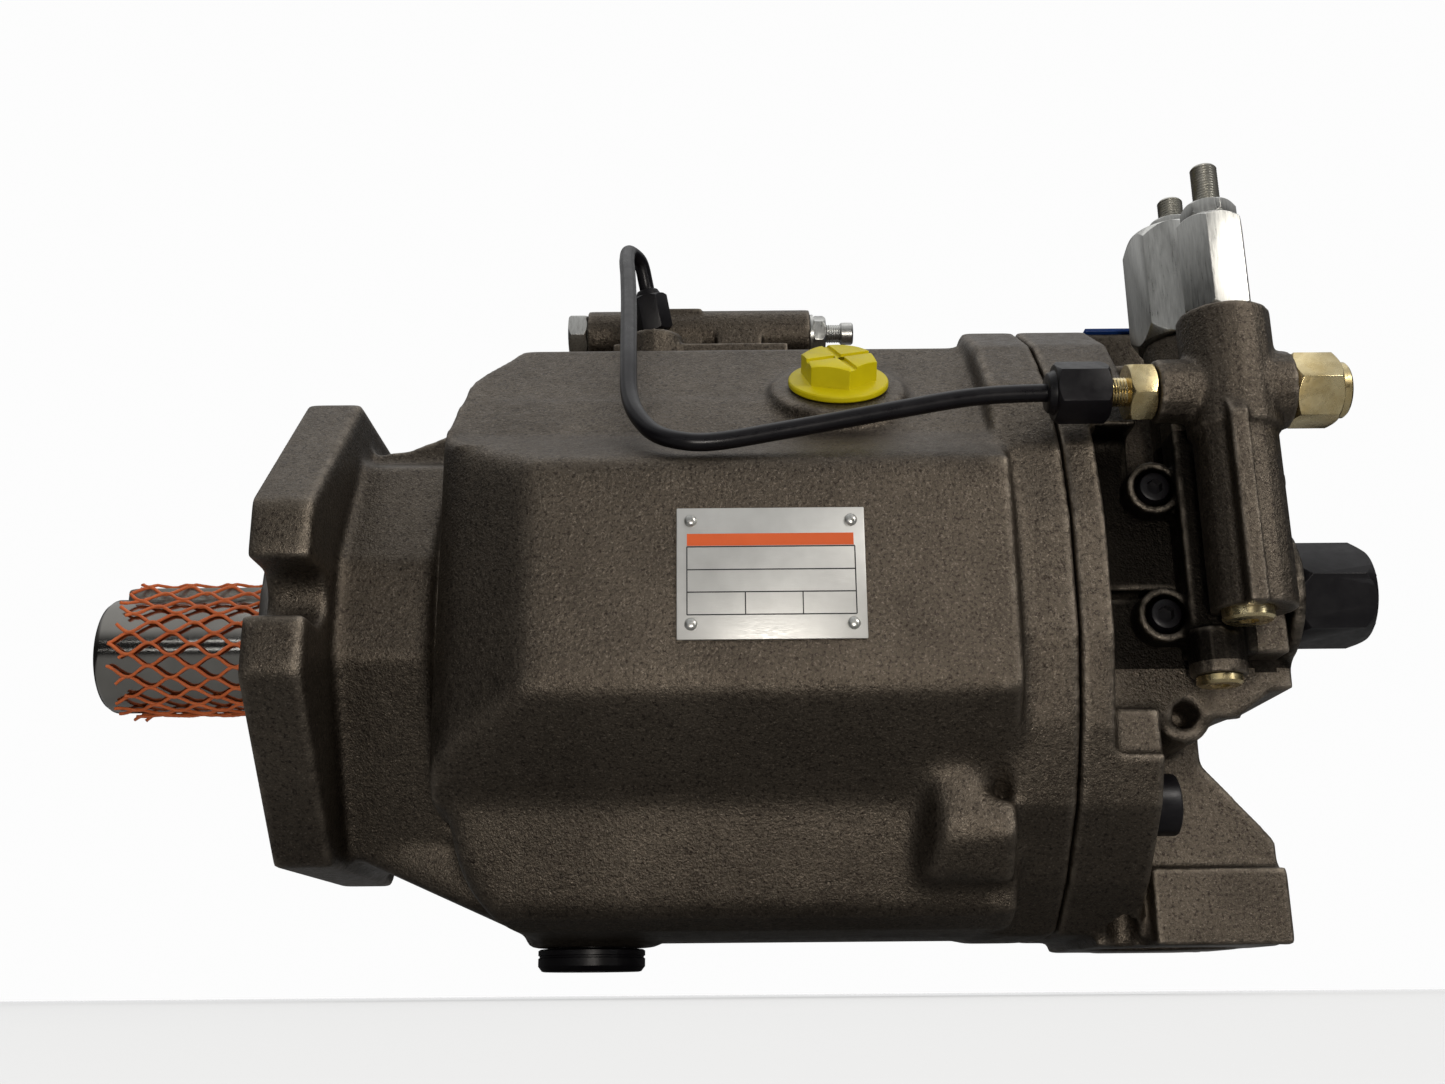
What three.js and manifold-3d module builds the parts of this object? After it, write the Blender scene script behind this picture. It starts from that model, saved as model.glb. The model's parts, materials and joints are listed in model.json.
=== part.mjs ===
import * as THREE from "three";
import { ConvexGeometry } from "three/addons/geometries/ConvexGeometry.js";
import { mergeVertices } from "three/addons/utils/BufferGeometryUtils.js";
import Module from "manifold-3d";

// Millimetres. +X runs from the shaft end to the port plate, +Z is the pressure port side,
// -Y is the side with the nameplate. The origin is the mounting face on the shaft axis.

const GAP = 0.3;

// shaft and flange
const SHAFT_RADIUS = 22.5;
const SHAFT_PROJECTION = 84;
const KEY_WIDTH = 14;
const KEY_HEIGHT = 9;
const KEY_LENGTH = 70;
const KEY_SETBACK = 3.5;
const PILOT_RADIUS = 62.5;
const PILOT_DEPTH = 9;
const FLANGE_THICKNESS = 21.5;
const FLANGE_HALF_WIDTH = 107;
const FLANGE_HALF_HEIGHT = 87;
const BOLT_SPACING = 180;
const BOLT_SLOT_RADIUS = 9.5;

// housing
const NECK_RADIUS = 72;
const BODY_RADIUS = 108;
const TOP_PAD_HEIGHT = 110;
const BULGE_REACH = 118;
const PARTING_X = 274;
const REAR_FLANGE_X = 252;
const CAVITY_X = 60;
const CAVITY_RADIUS = 93;
const BLOCK_ZONE_X = 205;
const BLOCK_ZONE_RADIUS = 66;

// rotating group
const PIVOT_X = 150;
const MAX_TILT = 18;
const PISTON_COUNT = 9;
const BALL_CIRCLE_RADIUS = 45.1;
const PISTON_PITCH_RADIUS = 44;
const PISTON_RADIUS = 10.5;
const PISTON_BORE_RADIUS = 12.4;
const BALL_RADIUS = 9;
const SLIPPER_RADIUS = 14;
const SWASH_FACE = -12;
const CRADLE_RADIUS = 75;
const BLOCK_X = 173;
const BLOCK_RADIUS = 60;
const VALVE_PLATE_THICKNESS = 5.4;
const LEVER_ARM = 80;
const CONTROL_PISTON_RADIUS = 14;

// port plate
const PORT_FLANGE_X = 302;
const PORT_END_X = 353.5;
const PORT_CENTRE_X = 322;
const WAIST_X = 329;
const PRESSURE_PAD_Z = 119.5;
const SUCTION_PAD_Z = -116;
const SUCTION_BORE_RADIUS = 28;
const PRESSURE_BORE_RADIUS = 16;
const VALVE_PAD_X = 285.5;
const CASE_BOLT_Y = 68;
const CASE_BOLT_Z = 70;

// control valve on the near side
const NEAR_COLUMN = { x: 330, y: -112, seat: 90.5, top: 126.5, flats: 21, roll: -23 };
const FAR_COLUMN = { x: 328.5, y: -77.5, seat: 95, top: 139, flats: 33, roll: 8 };
const FITTING_Z = 63.5;

// power control valve on top
const POWER_VALVE_Y = 18;
const POWER_VALVE_Z = 145.5;

// ports for drain
const DRAIN_X = 108;
const DRAIN_SEAT_Z = -113.6;
const CAP_X = 201;
const CAP_ANGLE = 46.5;

const wasm = await Module();
wasm.setup();

const radians = THREE.MathUtils.degToRad;
const pump = new THREE.Group();

function vector(x, y, z) {
  return new THREE.Vector3(x, y, z);
}

function solidOf(geometry) {
  const plain = geometry.clone();
  plain.deleteAttribute("normal");
  plain.deleteAttribute("uv");
  const merged = mergeVertices(plain, 1e-3);
  return new wasm.Manifold(
    new wasm.Mesh({
      numProp: 3,
      vertProperties: merged.attributes.position.array,
      triVerts: new Uint32Array(merged.index.array),
    }),
  );
}

function geometryOf(solid) {
  const mesh = solid.getMesh();
  const geometry = new THREE.BufferGeometry();
  geometry.setAttribute("position", new THREE.BufferAttribute(mesh.vertProperties, 3));
  geometry.setIndex(new THREE.BufferAttribute(mesh.triVerts, 1));
  geometry.computeVertexNormals();
  return geometry;
}

function material(colour, roughness, metalness) {
  return new THREE.MeshStandardMaterial({ color: colour, roughness, metalness });
}

const castIron = material("#3b3632", 0.75, 0.35);
const groundSteel = material("#9a9a98", 0.3, 0.9);
const blackSteel = material("#17171a", 0.45, 0.6);
const zinc = material("#c4c7c8", 0.35, 0.85);
const brass = material("#c2a04e", 0.35, 0.85);
const yellowPlastic = material("#e8d81c", 0.5, 0);
const orangePlastic = material("#d2541f", 0.55, 0);
const bluePlastic = material("#1f3f86", 0.5, 0);
const plateMetal = material("#cfd0cf", 0.4, 0.6);
const bronze = material("#a4713a", 0.4, 0.8);
const rubber = material("#1b1b1b", 0.8, 0);

function add(name, solid, finish) {
  const mesh = new THREE.Mesh(geometryOf(solid), finish);
  mesh.name = name;
  pump.add(mesh);
}

function join(parts) {
  return parts.reduce((all, part) => all.add(part));
}

function cut(body, tools) {
  return tools.reduce((left, tool) => left.subtract(tool), body);
}

function box(low, high) {
  const size = vector(high[0] - low[0], high[1] - low[1], high[2] - low[2]);
  const geometry = new THREE.BoxGeometry(size.x, size.y, size.z);
  geometry.translate((low[0] + high[0]) / 2, (low[1] + high[1]) / 2, (low[2] + high[2]) / 2);
  return solidOf(geometry);
}

// A solid of revolution about the line from `from` towards `to`. Profile: [radius, distance] pairs.
function turned(profile, from, to, sides, roll = 0) {
  const direction = to.clone().sub(from).normalize();
  const points = profile.map(([radius, distance]) => new THREE.Vector2(radius, distance));
  const geometry = new THREE.LatheGeometry(points, sides);
  geometry.rotateY(roll);
  const turn = new THREE.Quaternion().setFromUnitVectors(vector(0, 1, 0), direction);
  geometry.applyQuaternion(turn);
  geometry.translate(from.x, from.y, from.z);
  return solidOf(geometry);
}

function rod(radius, from, to, sides, roll = 0) {
  const length = from.distanceTo(to);
  return turned([[0, 0], [radius, 0], [radius, length], [0, length]], from, to, sides, roll);
}

function ring(inner, outer, from, to, sides) {
  const length = from.distanceTo(to);
  const profile = [[inner, 0], [outer, 0], [outer, length], [inner, length], [inner, 0]];
  return turned(profile, from, to, sides);
}

// Across flats size, with both ends chamfered.
function hexagon(flats, from, to, roll = 0) {
  const length = from.distanceTo(to);
  const corner = flats / Math.sqrt(3);
  const inset = corner - flats / 2;
  const prism = rod(corner, from, to, 6, roll);
  const profile = [[0, 0], [flats / 2, 0], [corner + 0.2, inset * 0.7]];
  profile.push([corner + 0.2, length - inset * 0.7], [flats / 2, length], [0, length]);
  return prism.intersect(turned(profile, from, to, 18, roll));
}

// A prism along X: outline in [y, z] pairs, anticlockwise.
function alongX(outline, x0, x1) {
  const shape = new THREE.Shape(outline.map(([y, z]) => new THREE.Vector2(y, z)));
  const geometry = new THREE.ExtrudeGeometry(shape, { depth: x1 - x0, bevelEnabled: false });
  geometry.applyMatrix4(new THREE.Matrix4().set(0, 0, 1, x0, 1, 0, 0, 0, 0, 1, 0, 0, 0, 0, 0, 1));
  return solidOf(geometry);
}

// A prism along Z: outline in [x, y] pairs, anticlockwise.
function alongZ(outline, z0, z1) {
  const shape = new THREE.Shape(outline.map(([x, y]) => new THREE.Vector2(x, y)));
  const geometry = new THREE.ExtrudeGeometry(shape, { depth: z1 - z0, bevelEnabled: false });
  geometry.translate(0, 0, z0);
  return solidOf(geometry);
}

// A prism along Y: outline in [x, z] pairs, anticlockwise seen from the -Y side.
function alongY(outline, y0, y1) {
  const shape = new THREE.Shape(outline.map(([x, z]) => new THREE.Vector2(x, z)));
  const geometry = new THREE.ExtrudeGeometry(shape, { depth: y1 - y0, bevelEnabled: false });
  geometry.rotateX(Math.PI / 2);
  geometry.translate(0, y1, 0);
  return solidOf(geometry);
}

function mirrored(half) {
  const other = half.map(([y, z]) => [-y, z]).reverse();
  return half.concat(other);
}

// ---------------------------------------------------------------- housing

function flangePlate() {
  const w = FLANGE_HALF_WIDTH;
  const h = FLANGE_HALF_HEIGHT;
  const outline = [[-w, -29], [-50, -h], [50, -h], [w, -29], [w, 29], [50, h], [-50, h], [-w, 29]];
  return alongX(outline, 0, FLANGE_THICKNESS);
}

function boltSlot(side) {
  const y = (side * BOLT_SPACING) / 2;
  const round = rod(BOLT_SLOT_RADIUS, vector(-2, y, 0), vector(30, y, 0), 20);
  const r = BOLT_SLOT_RADIUS;
  const mouth = side < 0 ? box([-2, -120, -r], [30, y, r]) : box([-2, y, -r], [30, 120, r]);
  return round.add(mouth);
}

function neck() {
  const half = [[0, -84], [32, -83], [NECK_RADIUS, -17], [NECK_RADIUS, 18], [48, 62], [20, 74], [0, 74]];
  const shaped = alongX(mirrored(half), 20, 64);
  const profile = [[0, 57], [77, 57], [82, 62], [96, 67], [104, 74], [BODY_RADIUS, 88], [BODY_RADIUS, 94], [0, 94]];
  const brow = alongY([[20, 40], [64, 40], [64, 84], [60, 84], [36, 74], [20, 72]], -34, 34);
  return join([shaped, brow, turned(profile, vector(0, 0, 0), vector(1, 0, 0), 32)]);
}

function bothSides(x, places) {
  return places.flatMap(([y, z]) => [[x, y, z], [x, -y, z]]);
}

// The underside slopes from the neck down to the flattened belly.
function underside() {
  const points = bothSides(26, [[34, -74], [31, -83]]);
  points.push(...bothSides(90, [[36, -90], [34, -110], [22, -111.5]]));
  const half = [[0, -111.5], [22, -111.5], [58, -110], [72, -105], [84, -70], [84, -50], [0, -50]];
  const slope = new ConvexGeometry(points.map(([x, y, z]) => vector(x, y, z)));
  const front = [[66, -49], [66, -74], [68, -86], [72, -96], [79, -105], [90, -112], [257, -112], [257, -49]];
  return solidOf(slope).add(alongX(mirrored(half), 65, 256).intersect(alongY(front, -90, 90)));
}

function topPad() {
  const across = alongX([[-92, 57], [92, 57], [47, TOP_PAD_HEIGHT], [-47, TOP_PAD_HEIGHT]], 60, 262);
  const front = [[60, 50], [262, 50], [262, TOP_PAD_HEIGHT + 1], [83, TOP_PAD_HEIGHT + 1], [65, 90], [62, 70]];
  return across.intersect(alongY(front, -93, 93));
}

function bulge() {
  const side = [[-60, 58], [-92, 57], [-BULGE_REACH, 39], [-BULGE_REACH, -38], [-84, -70], [-60, -74]];
  const block = alongX(side, 57, 254);
  const plan = [[61, -50], [61, -91], [67, -100], [96, -BULGE_REACH - 1], [254, -BULGE_REACH - 1], [254, -50]];
  return block.intersect(alongZ(plan, -90, 90));
}

function portOutline() {
  const half = [[0, -113], [42, -112], [66, -96], [90, -73], [103, -48], [111, -20], [111, 22]];
  half.push([105, 48], [91, 76], [70, 100], [42, 118], [0, 119]);
  return mirrored(half);
}

function boltLug(side) {
  const outline = [[-60, -96], [-60, -52], [-80, -54], [-95, -62], [-98, -82], [-86, -96]];
  const near = side < 0 ? outline.reverse() : outline.map(([y, z]) => [-y, z]);
  const taper = [[222, -40], [222, -82], [229, -99], [255, -99], [255, -40]].map(([x, y]) => [x, -side * y]);
  const front = [[221, -99], [221, -48], [236, -48], [237, -61.5], [248, -71], [255, -72], [255, -99]];
  return alongX(near, 222, 253).intersect(alongZ(taper, -110, -40)).intersect(alongY(front, -110, 110));
}

function capDirection() {
  return vector(0, -Math.cos(radians(CAP_ANGLE)), Math.sin(radians(CAP_ANGLE)));
}

function onCapAxis(radius) {
  return capDirection().multiplyScalar(radius).add(vector(CAP_X, 0, 0));
}

function cradleSeat(side) {
  const low = [CAVITY_X - 0.5, -50, side > 0 ? 28 : -62];
  const high = [104, 50, side > 0 ? 62 : -28];
  const r = CRADLE_RADIUS + 0.6;
  const hollow = rod(r, vector(PIVOT_X, 0, -80), vector(PIVOT_X, 0, 80), 40);
  return box(low, high).subtract(hollow);
}

function housingOutside() {
  const x = vector(1, 0, 0);
  const main = [[0, 78], [BODY_RADIUS, 78], [BODY_RADIUS, 256], [0, 256]];
  const parts = [flangePlate(), rod(PILOT_RADIUS, vector(-PILOT_DEPTH, 0, 0), vector(4, 0, 0), 48)];
  parts.push(neck(), turned(main, vector(0, 0, 0), x, 32), bulge());
  parts.push(topPad(), underside());
  parts.push(alongX(portOutline(), REAR_FLANGE_X, PARTING_X));
  for (const side of [-1, 1]) {
    parts.push(boltLug(side));
  }
  parts.push(rod(24.5, vector(DRAIN_X, 0, -80), vector(DRAIN_X, 0, DRAIN_SEAT_Z), 28));
  parts.push(rod(25, onCapAxis(80), onCapAxis(112), 28));
  return join(parts);
}

function housingHollows() {
  const tools = [boltSlot(-1), boltSlot(1)];
  const bore = [[0, -12], [32.3, -12], [32.3, 6.3], [24.5, 6.3], [24.5, 38], [42.5, 38], [42.5, CAVITY_X]];
  bore.push([CAVITY_RADIUS - 12, CAVITY_X], [CAVITY_RADIUS, CAVITY_X + 14], [CAVITY_RADIUS, BLOCK_ZONE_X]);
  bore.push([BLOCK_ZONE_RADIUS, BLOCK_ZONE_X], [BLOCK_ZONE_RADIUS, PARTING_X + 2], [0, PARTING_X + 2]);
  const inside = turned(bore, vector(0, 0, 0), vector(1, 0, 0), 32);
  tools.push(cut(inside, [cradleSeat(-1), cradleSeat(1)]));
  for (const side of [-1, 1]) {
    const y = side * LEVER_ARM;
    tools.push(rod(CONTROL_PISTON_RADIUS + 0.7, vector(140, y, 0), vector(PARTING_X + 2, y, 0), 18));
  }
  for (const [y, z] of caseBoltPlaces()) {
    tools.push(rod(7, vector(234, y, z), vector(PARTING_X + 2, y, z), 12));
  }
  tools.push(rod(13, vector(DRAIN_X, 0, -80), vector(DRAIN_X, 0, -118), 18));
  tools.push(rod(13, onCapAxis(80), onCapAxis(116), 18));
  return tools;
}

// The upper bolt heads are sunk, the lower ones stand on the flange.
function boltSeatX(z) {
  return z > 0 ? PORT_FLANGE_X - 13 : PORT_FLANGE_X;
}

function caseBoltPlaces() {
  const y = CASE_BOLT_Y;
  const z = CASE_BOLT_Z;
  return [[-y, z], [-y, -z], [y, -z], [y, z]];
}

add("housing", cut(housingOutside(), housingHollows()), castIron);

// ------------------------------------------------------------- port plate

function portPlateOutside() {
  const parts = [alongX(portOutline(), PARTING_X + GAP, PORT_FLANGE_X)];
  const foot = [[298, -113], [PORT_END_X - 1, SUCTION_PAD_Z], [PORT_END_X - 1, -80], [WAIST_X, -53], [WAIST_X, -30]];
  foot.push([298, -30]);
  parts.push(alongY(foot, -47, 47));
  parts.push(box([288, -42, SUCTION_PAD_Z], [307, 42, -90]));
  parts.push(box([306, -54, SUCTION_PAD_Z], [PORT_END_X, 54, -90]));
  parts.push(box([298, -52, -40], [344, 52, 100]));
  parts.push(alongY([[298, -43], [331, -43], [343, -34.5], [351, -33], [351, 30], [298, 34]], -104, 66));
  parts.push(box([298, -38, 60], [350, 38, PRESSURE_PAD_Z]));
  parts.push(rod(9.5, vector(313.8, -82, -41.6), vector(313.8, -40, -41.6), 16));
  return join(parts);
}

function portPlateHollows() {
  const x = PORT_CENTRE_X;
  const tools = [rod(SUCTION_BORE_RADIUS, vector(x, 0, -86), vector(x, 0, SUCTION_PAD_Z - 4), 28)];
  tools.push(rod(11, vector(x, 0, -64), vector(x, 0, -88), 20));
  tools.push(rod(PRESSURE_BORE_RADIUS, vector(x, 0, 40), vector(x, 0, PRESSURE_PAD_Z + 4), 20));
  tools.push(rod(9, vector(PARTING_X - 1, 0, 46), vector(x, 0, 46), 14));
  tools.push(rod(12, vector(PARTING_X - 1, 0, -44), vector(x, 0, -66), 14));
  tools.push(rod(22, vector(PARTING_X - 1, 0, 0), vector(303, 0, 0), 24));
  const capY = -LEVER_ARM;
  tools.push(rod(4.2, vector(PARTING_X - 1, capY, 0), vector(PORT_END_X, capY, 0), 12));
  tools.push(rod(4.5, vector(313.8, -84.8, -41.6), vector(313.8, -68, -41.6), 12));
  tools.push(rod(14.2, vector(346, capY, 0), vector(PORT_END_X, capY, 0), 20));
  for (const [y, z] of caseBoltPlaces()) {
    tools.push(rod(7.2, vector(PARTING_X - 1, y, z), vector(PORT_FLANGE_X + 2, y, z), 12));
    tools.push(rod(12.5, vector(boltSeatX(z), y, z), vector(PORT_END_X + 4, y, z), 14));
  }
  for (const dx of [-25.4, 25.4]) {
    for (const y of [-44.45, 44.45]) {
      tools.push(rod(5.5, vector(x + dx, y, SUCTION_PAD_Z + 22), vector(x + dx, y, SUCTION_PAD_Z - 4), 10));
    }
  }
  tools.push(box([PORT_FLANGE_X + 0.5, -130, -60], [PORT_END_X + 4, -84.6, 90]));
  tools.push(box([VALVE_PAD_X, -130, -41], [PORT_END_X + 4, -84.6, 56]));
  tools.push(box([VALVE_PAD_X, -130, -57], [PORT_END_X + 4, -95, -40]));
  tools.push(alongX([[-110, -50], [75, -50], [75, -17], [-110, -47.5]], WAIST_X, 360));
  return tools;
}

function portPlate() {
  const body = cut(portPlateOutside(), portPlateHollows());
  const y = -LEVER_ARM;
  return body.add(ring(14.2, 25, vector(347, y, 0), vector(352, y, 0), 20));
}

add("port_plate", portPlate(), castIron);

// ------------------------------------------------------------ fixed parts

function caseBolt(y, z) {
  const x0 = boltSeatX(z) + GAP;
  const profile = [[0, 0], [11, 0], [11, 8.6], [10, 9.6], [0, 9.6]];
  const head = turned(profile, vector(x0, y, z), vector(x0 + 1, y, z), 14);
  const shank = rod(6.6, vector(240, y, z), vector(x0 + 1, y, z), 12);
  const socket = rod(6.4, vector(x0 + 4.6, y, z), vector(x0 + 14, y, z), 6);
  return head.add(shank).subtract(socket);
}

caseBoltPlaces().forEach(([y, z], index) => {
  add("case_bolt_" + (index + 1), caseBolt(y, z), blackSteel);
});

function shaftSeal() {
  return ring(23, 32, vector(-3, 0, 0), vector(6, 0, 0), 24);
}

function frontBearing() {
  return ring(SHAFT_RADIUS + GAP, 42.2, vector(38.3, 0, 0), vector(59, 0, 0), 28);
}

function valvePlate() {
  const x0 = PARTING_X - VALVE_PLATE_THICKNESS;
  const disc = ring(24, 58, vector(x0, 0, 0), vector(PARTING_X, 0, 0), 36);
  const kidney = (middle) => {
    const outer = [];
    const inner = [];
    for (let step = -4; step <= 4; step++) {
      const angle = radians(middle + step * 15);
      outer.push([50 * Math.cos(angle), 50 * Math.sin(angle)]);
      inner.unshift([38 * Math.cos(angle), 38 * Math.sin(angle)]);
    }
    return alongX(outer.concat(inner), x0 - 1, PARTING_X + 1);
  };
  return cut(disc, [kidney(90), kidney(270)]);
}

add("shaft_seal", shaftSeal(), rubber);
add("front_bearing", frontBearing(), groundSteel);
add("valve_plate", valvePlate(), bronze);

function drainPlug() {
  const seat = DRAIN_SEAT_Z - GAP;
  const profile = [[0, -12], [12.6, -12], [12.6, 0.2], [20, 0.2], [20, 7], [18.7, 8.3], [0, 8.3]];
  const body = turned(profile, vector(DRAIN_X, 0, seat), vector(DRAIN_X, 0, seat - 1), 24);
  const socket = rod(7.5, vector(DRAIN_X, 0, seat - 2), vector(DRAIN_X, 0, seat - 14), 6);
  return body.subtract(socket);
}

function drainPortCap() {
  const profile = [[0, -14], [12.5, -14], [12.5, 0], [18.2, 0], [18.2, 2.4], [15.6, 3.2], [0, 3.2]];
  const from = onCapAxis(112 + GAP);
  const body = turned(profile, from, onCapAxis(130), 24);
  const hex = hexagon(24.4, onCapAxis(113), onCapAxis(123.5), radians(12));
  const slots = [0, 90].map((angle) => {
    const geometry = new THREE.BoxGeometry(40, 3, 2.6);
    geometry.rotateY(radians(angle + 20));
    const turn = new THREE.Quaternion().setFromUnitVectors(vector(0, 1, 0), capDirection());
    geometry.applyQuaternion(turn);
    const place = onCapAxis(123.3);
    geometry.translate(place.x, place.y, place.z);
    return solidOf(geometry);
  });
  return cut(body.add(hex), slots);
}

function pressurePortCover() {
  const z = PRESSURE_PAD_Z + GAP;
  return box([303, -38, z], [350, 38, z + 1.5]);
}

function nameplate() {
  const y = -BULGE_REACH - GAP;
  return box([143.5, y - 1, -22.7], [204.5, y, 21.2]);
}

add("drain_plug", drainPlug(), blackSteel);
add("drain_port_cap", drainPortCap(), yellowPlastic);
add("pressure_port_cover", pressurePortCover(), bluePlastic);
add("nameplate", nameplate(), plateMetal);

// ---------------------------------------------------------- control valve

const VALVE_BACK_Y = -84.9;
const VALVE_END_X = 349.5;
const LOWER_PLUG_PLACE = vector(322, -97, -31.5);
const NEAR_BODY_X = 330.7;
const NEAR_PLUG_X = 328.5;

function valveScrewPlaces() {
  return [[306.7, 34.8], [306.6, -10]];
}

function controlValveBody() {
  const near = NEAR_COLUMN;
  const far = FAR_COLUMN;
  const back = VALVE_BACK_Y;
  const parts = [rod(14, vector(NEAR_BODY_X, near.y, -13), vector(NEAR_BODY_X, near.y, 60), 18)];
  parts.push(rod(15.6, vector(NEAR_BODY_X, near.y, 48), vector(NEAR_BODY_X, near.y, near.seat), 18));
  parts.push(rod(15, vector(far.x, far.y, 42), vector(far.x, far.y, far.seat), 18));
  parts.push(box([314, back - 14, -24], [346, back, 62]));
  parts.push(box([322, near.y, 46], [341, far.y, 86]));
  parts.push(rod(9.5, LOWER_PLUG_PLACE, LOWER_PLUG_PLACE.clone().setZ(-16), 14));
  parts.push(alongX([[-130, -14], [-112, -13], [-112, 60], [-124, 60], [-130, 50]], 323.5, 329.7));
  parts.push(rod(11, vector(304.5, near.y, FITTING_Z), vector(331, near.y, FITTING_Z), 14));
  parts.push(rod(13.5, vector(331, near.y, FITTING_Z), vector(VALVE_END_X, near.y, FITTING_Z), 16));
  for (const [x, z] of valveScrewPlaces()) {
    parts.push(rod(9.5, vector(x, back, z), vector(x, back - 12, z), 14));
    parts.push(box([x, back - 9, z - 9], [x + 14, back, z + 7]));
  }
  parts.push(rod(7.5, vector(345, back, 37), vector(345, back - 12, 37), 14));
  const tools = [near, far].map((column) => {
    const { x, y, seat } = column;
    return rod(9, vector(x, y, seat - 18), vector(x, y, seat + 4), 14);
  });
  tools.push(rod(5.3, vector(300, near.y, FITTING_Z), vector(322, near.y, FITTING_Z), 12));
  tools.push(rod(9, vector(342, near.y, FITTING_Z), vector(356, near.y, FITTING_Z), 14));
  tools.push(rod(8.7, vector(NEAR_PLUG_X, near.y, -18), vector(NEAR_PLUG_X, near.y, -8), 14));
  for (const [x, z] of valveScrewPlaces()) {
    tools.push(rod(6.9, vector(x, back - 20, z), vector(x, back - 5, z), 12));
    tools.push(rod(4.3, vector(x, back - 8, z), vector(x, back + 2, z), 10));
  }
  return cut(join(parts), tools);
}

function valveScrew(x, z) {
  const seat = VALVE_BACK_Y - 5 - GAP;
  const profile = [[0, -4], [4, -4], [4, 0.2], [5.2, 0.2], [5.2, 6.4], [4.6, 7], [0, 7]];
  const body = turned(profile, vector(x, seat, z), vector(x, seat - 1, z), 12);
  return body.subtract(rod(2.9, vector(x, seat - 3.5, z), vector(x, seat - 10, z), 6));
}

add("control_valve_body", controlValveBody(), castIron);
valveScrewPlaces().forEach(([x, z], index) => {
  add(["valve_screw_upper", "valve_screw_lower"][index], valveScrew(x, z), blackSteel);
});

function springCap({ x, y, seat, top, flats, roll }) {
  const hex = hexagon(flats, vector(x, y, seat + GAP), vector(x, y, top), radians(roll));
  const thread = rod(8.6, vector(x, y, seat - 14), vector(x, y, seat + 1), 14);
  return hex.add(thread).subtract(rod(5.3, vector(x, y, seat - 16), vector(x, y, top + 2), 12));
}

function lockNut({ x, y, top }) {
  const base = top + GAP;
  const hex = hexagon(16.5, vector(x, y, base), vector(x, y, base + 6), radians(8));
  return hex.subtract(rod(5.3, vector(x, y, base - 2), vector(x, y, base + 8), 12));
}

function adjustScrew({ x, y, seat }, end) {
  const start = seat + 12;
  const length = end - start;
  const profile = [[0, 0], [4.6, 0], [4.6, length - 1], [3.8, length], [0, length]];
  const body = turned(profile, vector(x, y, start), vector(x, y, end), 12);
  return body.subtract(rod(2.6, vector(x, y, end - 3), vector(x, y, end + 2), 6));
}

add("pressure_spring_cap", springCap(NEAR_COLUMN), zinc);
add("flow_spring_cap", springCap(FAR_COLUMN), zinc);
add("pressure_lock_nut", lockNut(NEAR_COLUMN), zinc);
add("flow_lock_nut", lockNut(FAR_COLUMN), zinc);
add("pressure_adjust_screw", adjustScrew(NEAR_COLUMN, 148.5), groundSteel);
add("flow_adjust_screw", adjustScrew(FAR_COLUMN, 154.8), groundSteel);

function plug(radius, depth, flats, height, from, to, roll) {
  const direction = to.clone().sub(from).normalize();
  const at = (distance) => from.clone().add(direction.clone().multiplyScalar(distance));
  return rod(radius, at(-depth), at(1), 14).add(hexagon(flats, at(GAP), at(height), roll));
}

function brassPlug() {
  const y = NEAR_COLUMN.y;
  const from = vector(VALVE_END_X, y, FITTING_Z);
  const end = rod(9.5, vector(365, y, FITTING_Z), vector(369.5, y, FITTING_Z), 16);
  return plug(8.6, 7.4, 22.5, 15.8, from, vector(370, y, FITTING_Z), radians(30)).add(end);
}

function brassFitting() {
  const y = NEAR_COLUMN.y;
  const z = FITTING_Z;
  const hex = hexagon(18.5, vector(295, y, z), vector(304.5 - GAP, y, z), radians(52));
  const stem = rod(5, vector(282, y, z), vector(318, y, z), 12);
  return hex.add(stem);
}

function lowerPlugNear() {
  const { y } = NEAR_COLUMN;
  return rod(8.4, vector(NEAR_PLUG_X, y, -16.5), vector(NEAR_PLUG_X, y, -8.4), 14);
}

function lowerPlugFar() {
  const place = LOWER_PLUG_PLACE;
  return rod(7.5, place.clone().setZ(place.z - 3.2), place.clone().setZ(place.z - GAP), 14);
}

add("brass_plug", brassPlug(), brass);
add("brass_fitting", brassFitting(), brass);
add("lower_plug_near", lowerPlugNear(), brass);
add("lower_plug_far", lowerPlugFar(), brass);

function stopScrewCap() {
  const y = -LEVER_ARM;
  const from = vector(352, y, 0);
  const hex = hexagon(32, vector(352 + GAP, y, 0), vector(379, y, 0), radians(20));
  return hex.add(rod(13.8, vector(347, y, 0), vector(353, y, 0), 16));
}

add("stop_screw_cap", stopScrewCap(), blackSteel);

// ----------------------------------------------------- pilot tube and nuts

const TUBE_RADIUS = 3.1;
const FRONT_NUT_END = vector(288.8, NEAR_COLUMN.y, FITTING_Z);
const REAR_NUT_END = vector(131, -7, 136);

function tubePath() {
  const points = [[279, -112, 63.5], [266, -112, 63.5], [245, -112, 62.4], [217, -112.5, 57.6]];
  points.push([180, -114, 50.2], [154.5, -116, 45.4], [145.5, -116, 45.8], [136.5, -112.5, 49.8]);
  points.push([130, -106, 58.6], [126.5, -98, 69.5], [125.2, -86, 88.3], [124.2, -72, 106.6]);
  points.push([123, -56, 126.6], [121.6, -42, 144.4], [120.5, -32, 156.2], [121.1, -24, 163.6]);
  points.push([125, -18, 162.5], [127.3, -13, 154.4]);
  return new THREE.CatmullRomCurve3(points.map(([x, y, z]) => vector(x, y, z)), false, "centripetal");
}

function pilotTube() {
  const shape = new THREE.Shape();
  shape.absarc(0, 0, TUBE_RADIUS, 0, Math.PI * 2, false);
  const options = { steps: 36, curveSegments: 4, bevelEnabled: false, extrudePath: tubePath() };
  return solidOf(new THREE.ExtrudeGeometry(shape, options));
}

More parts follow.
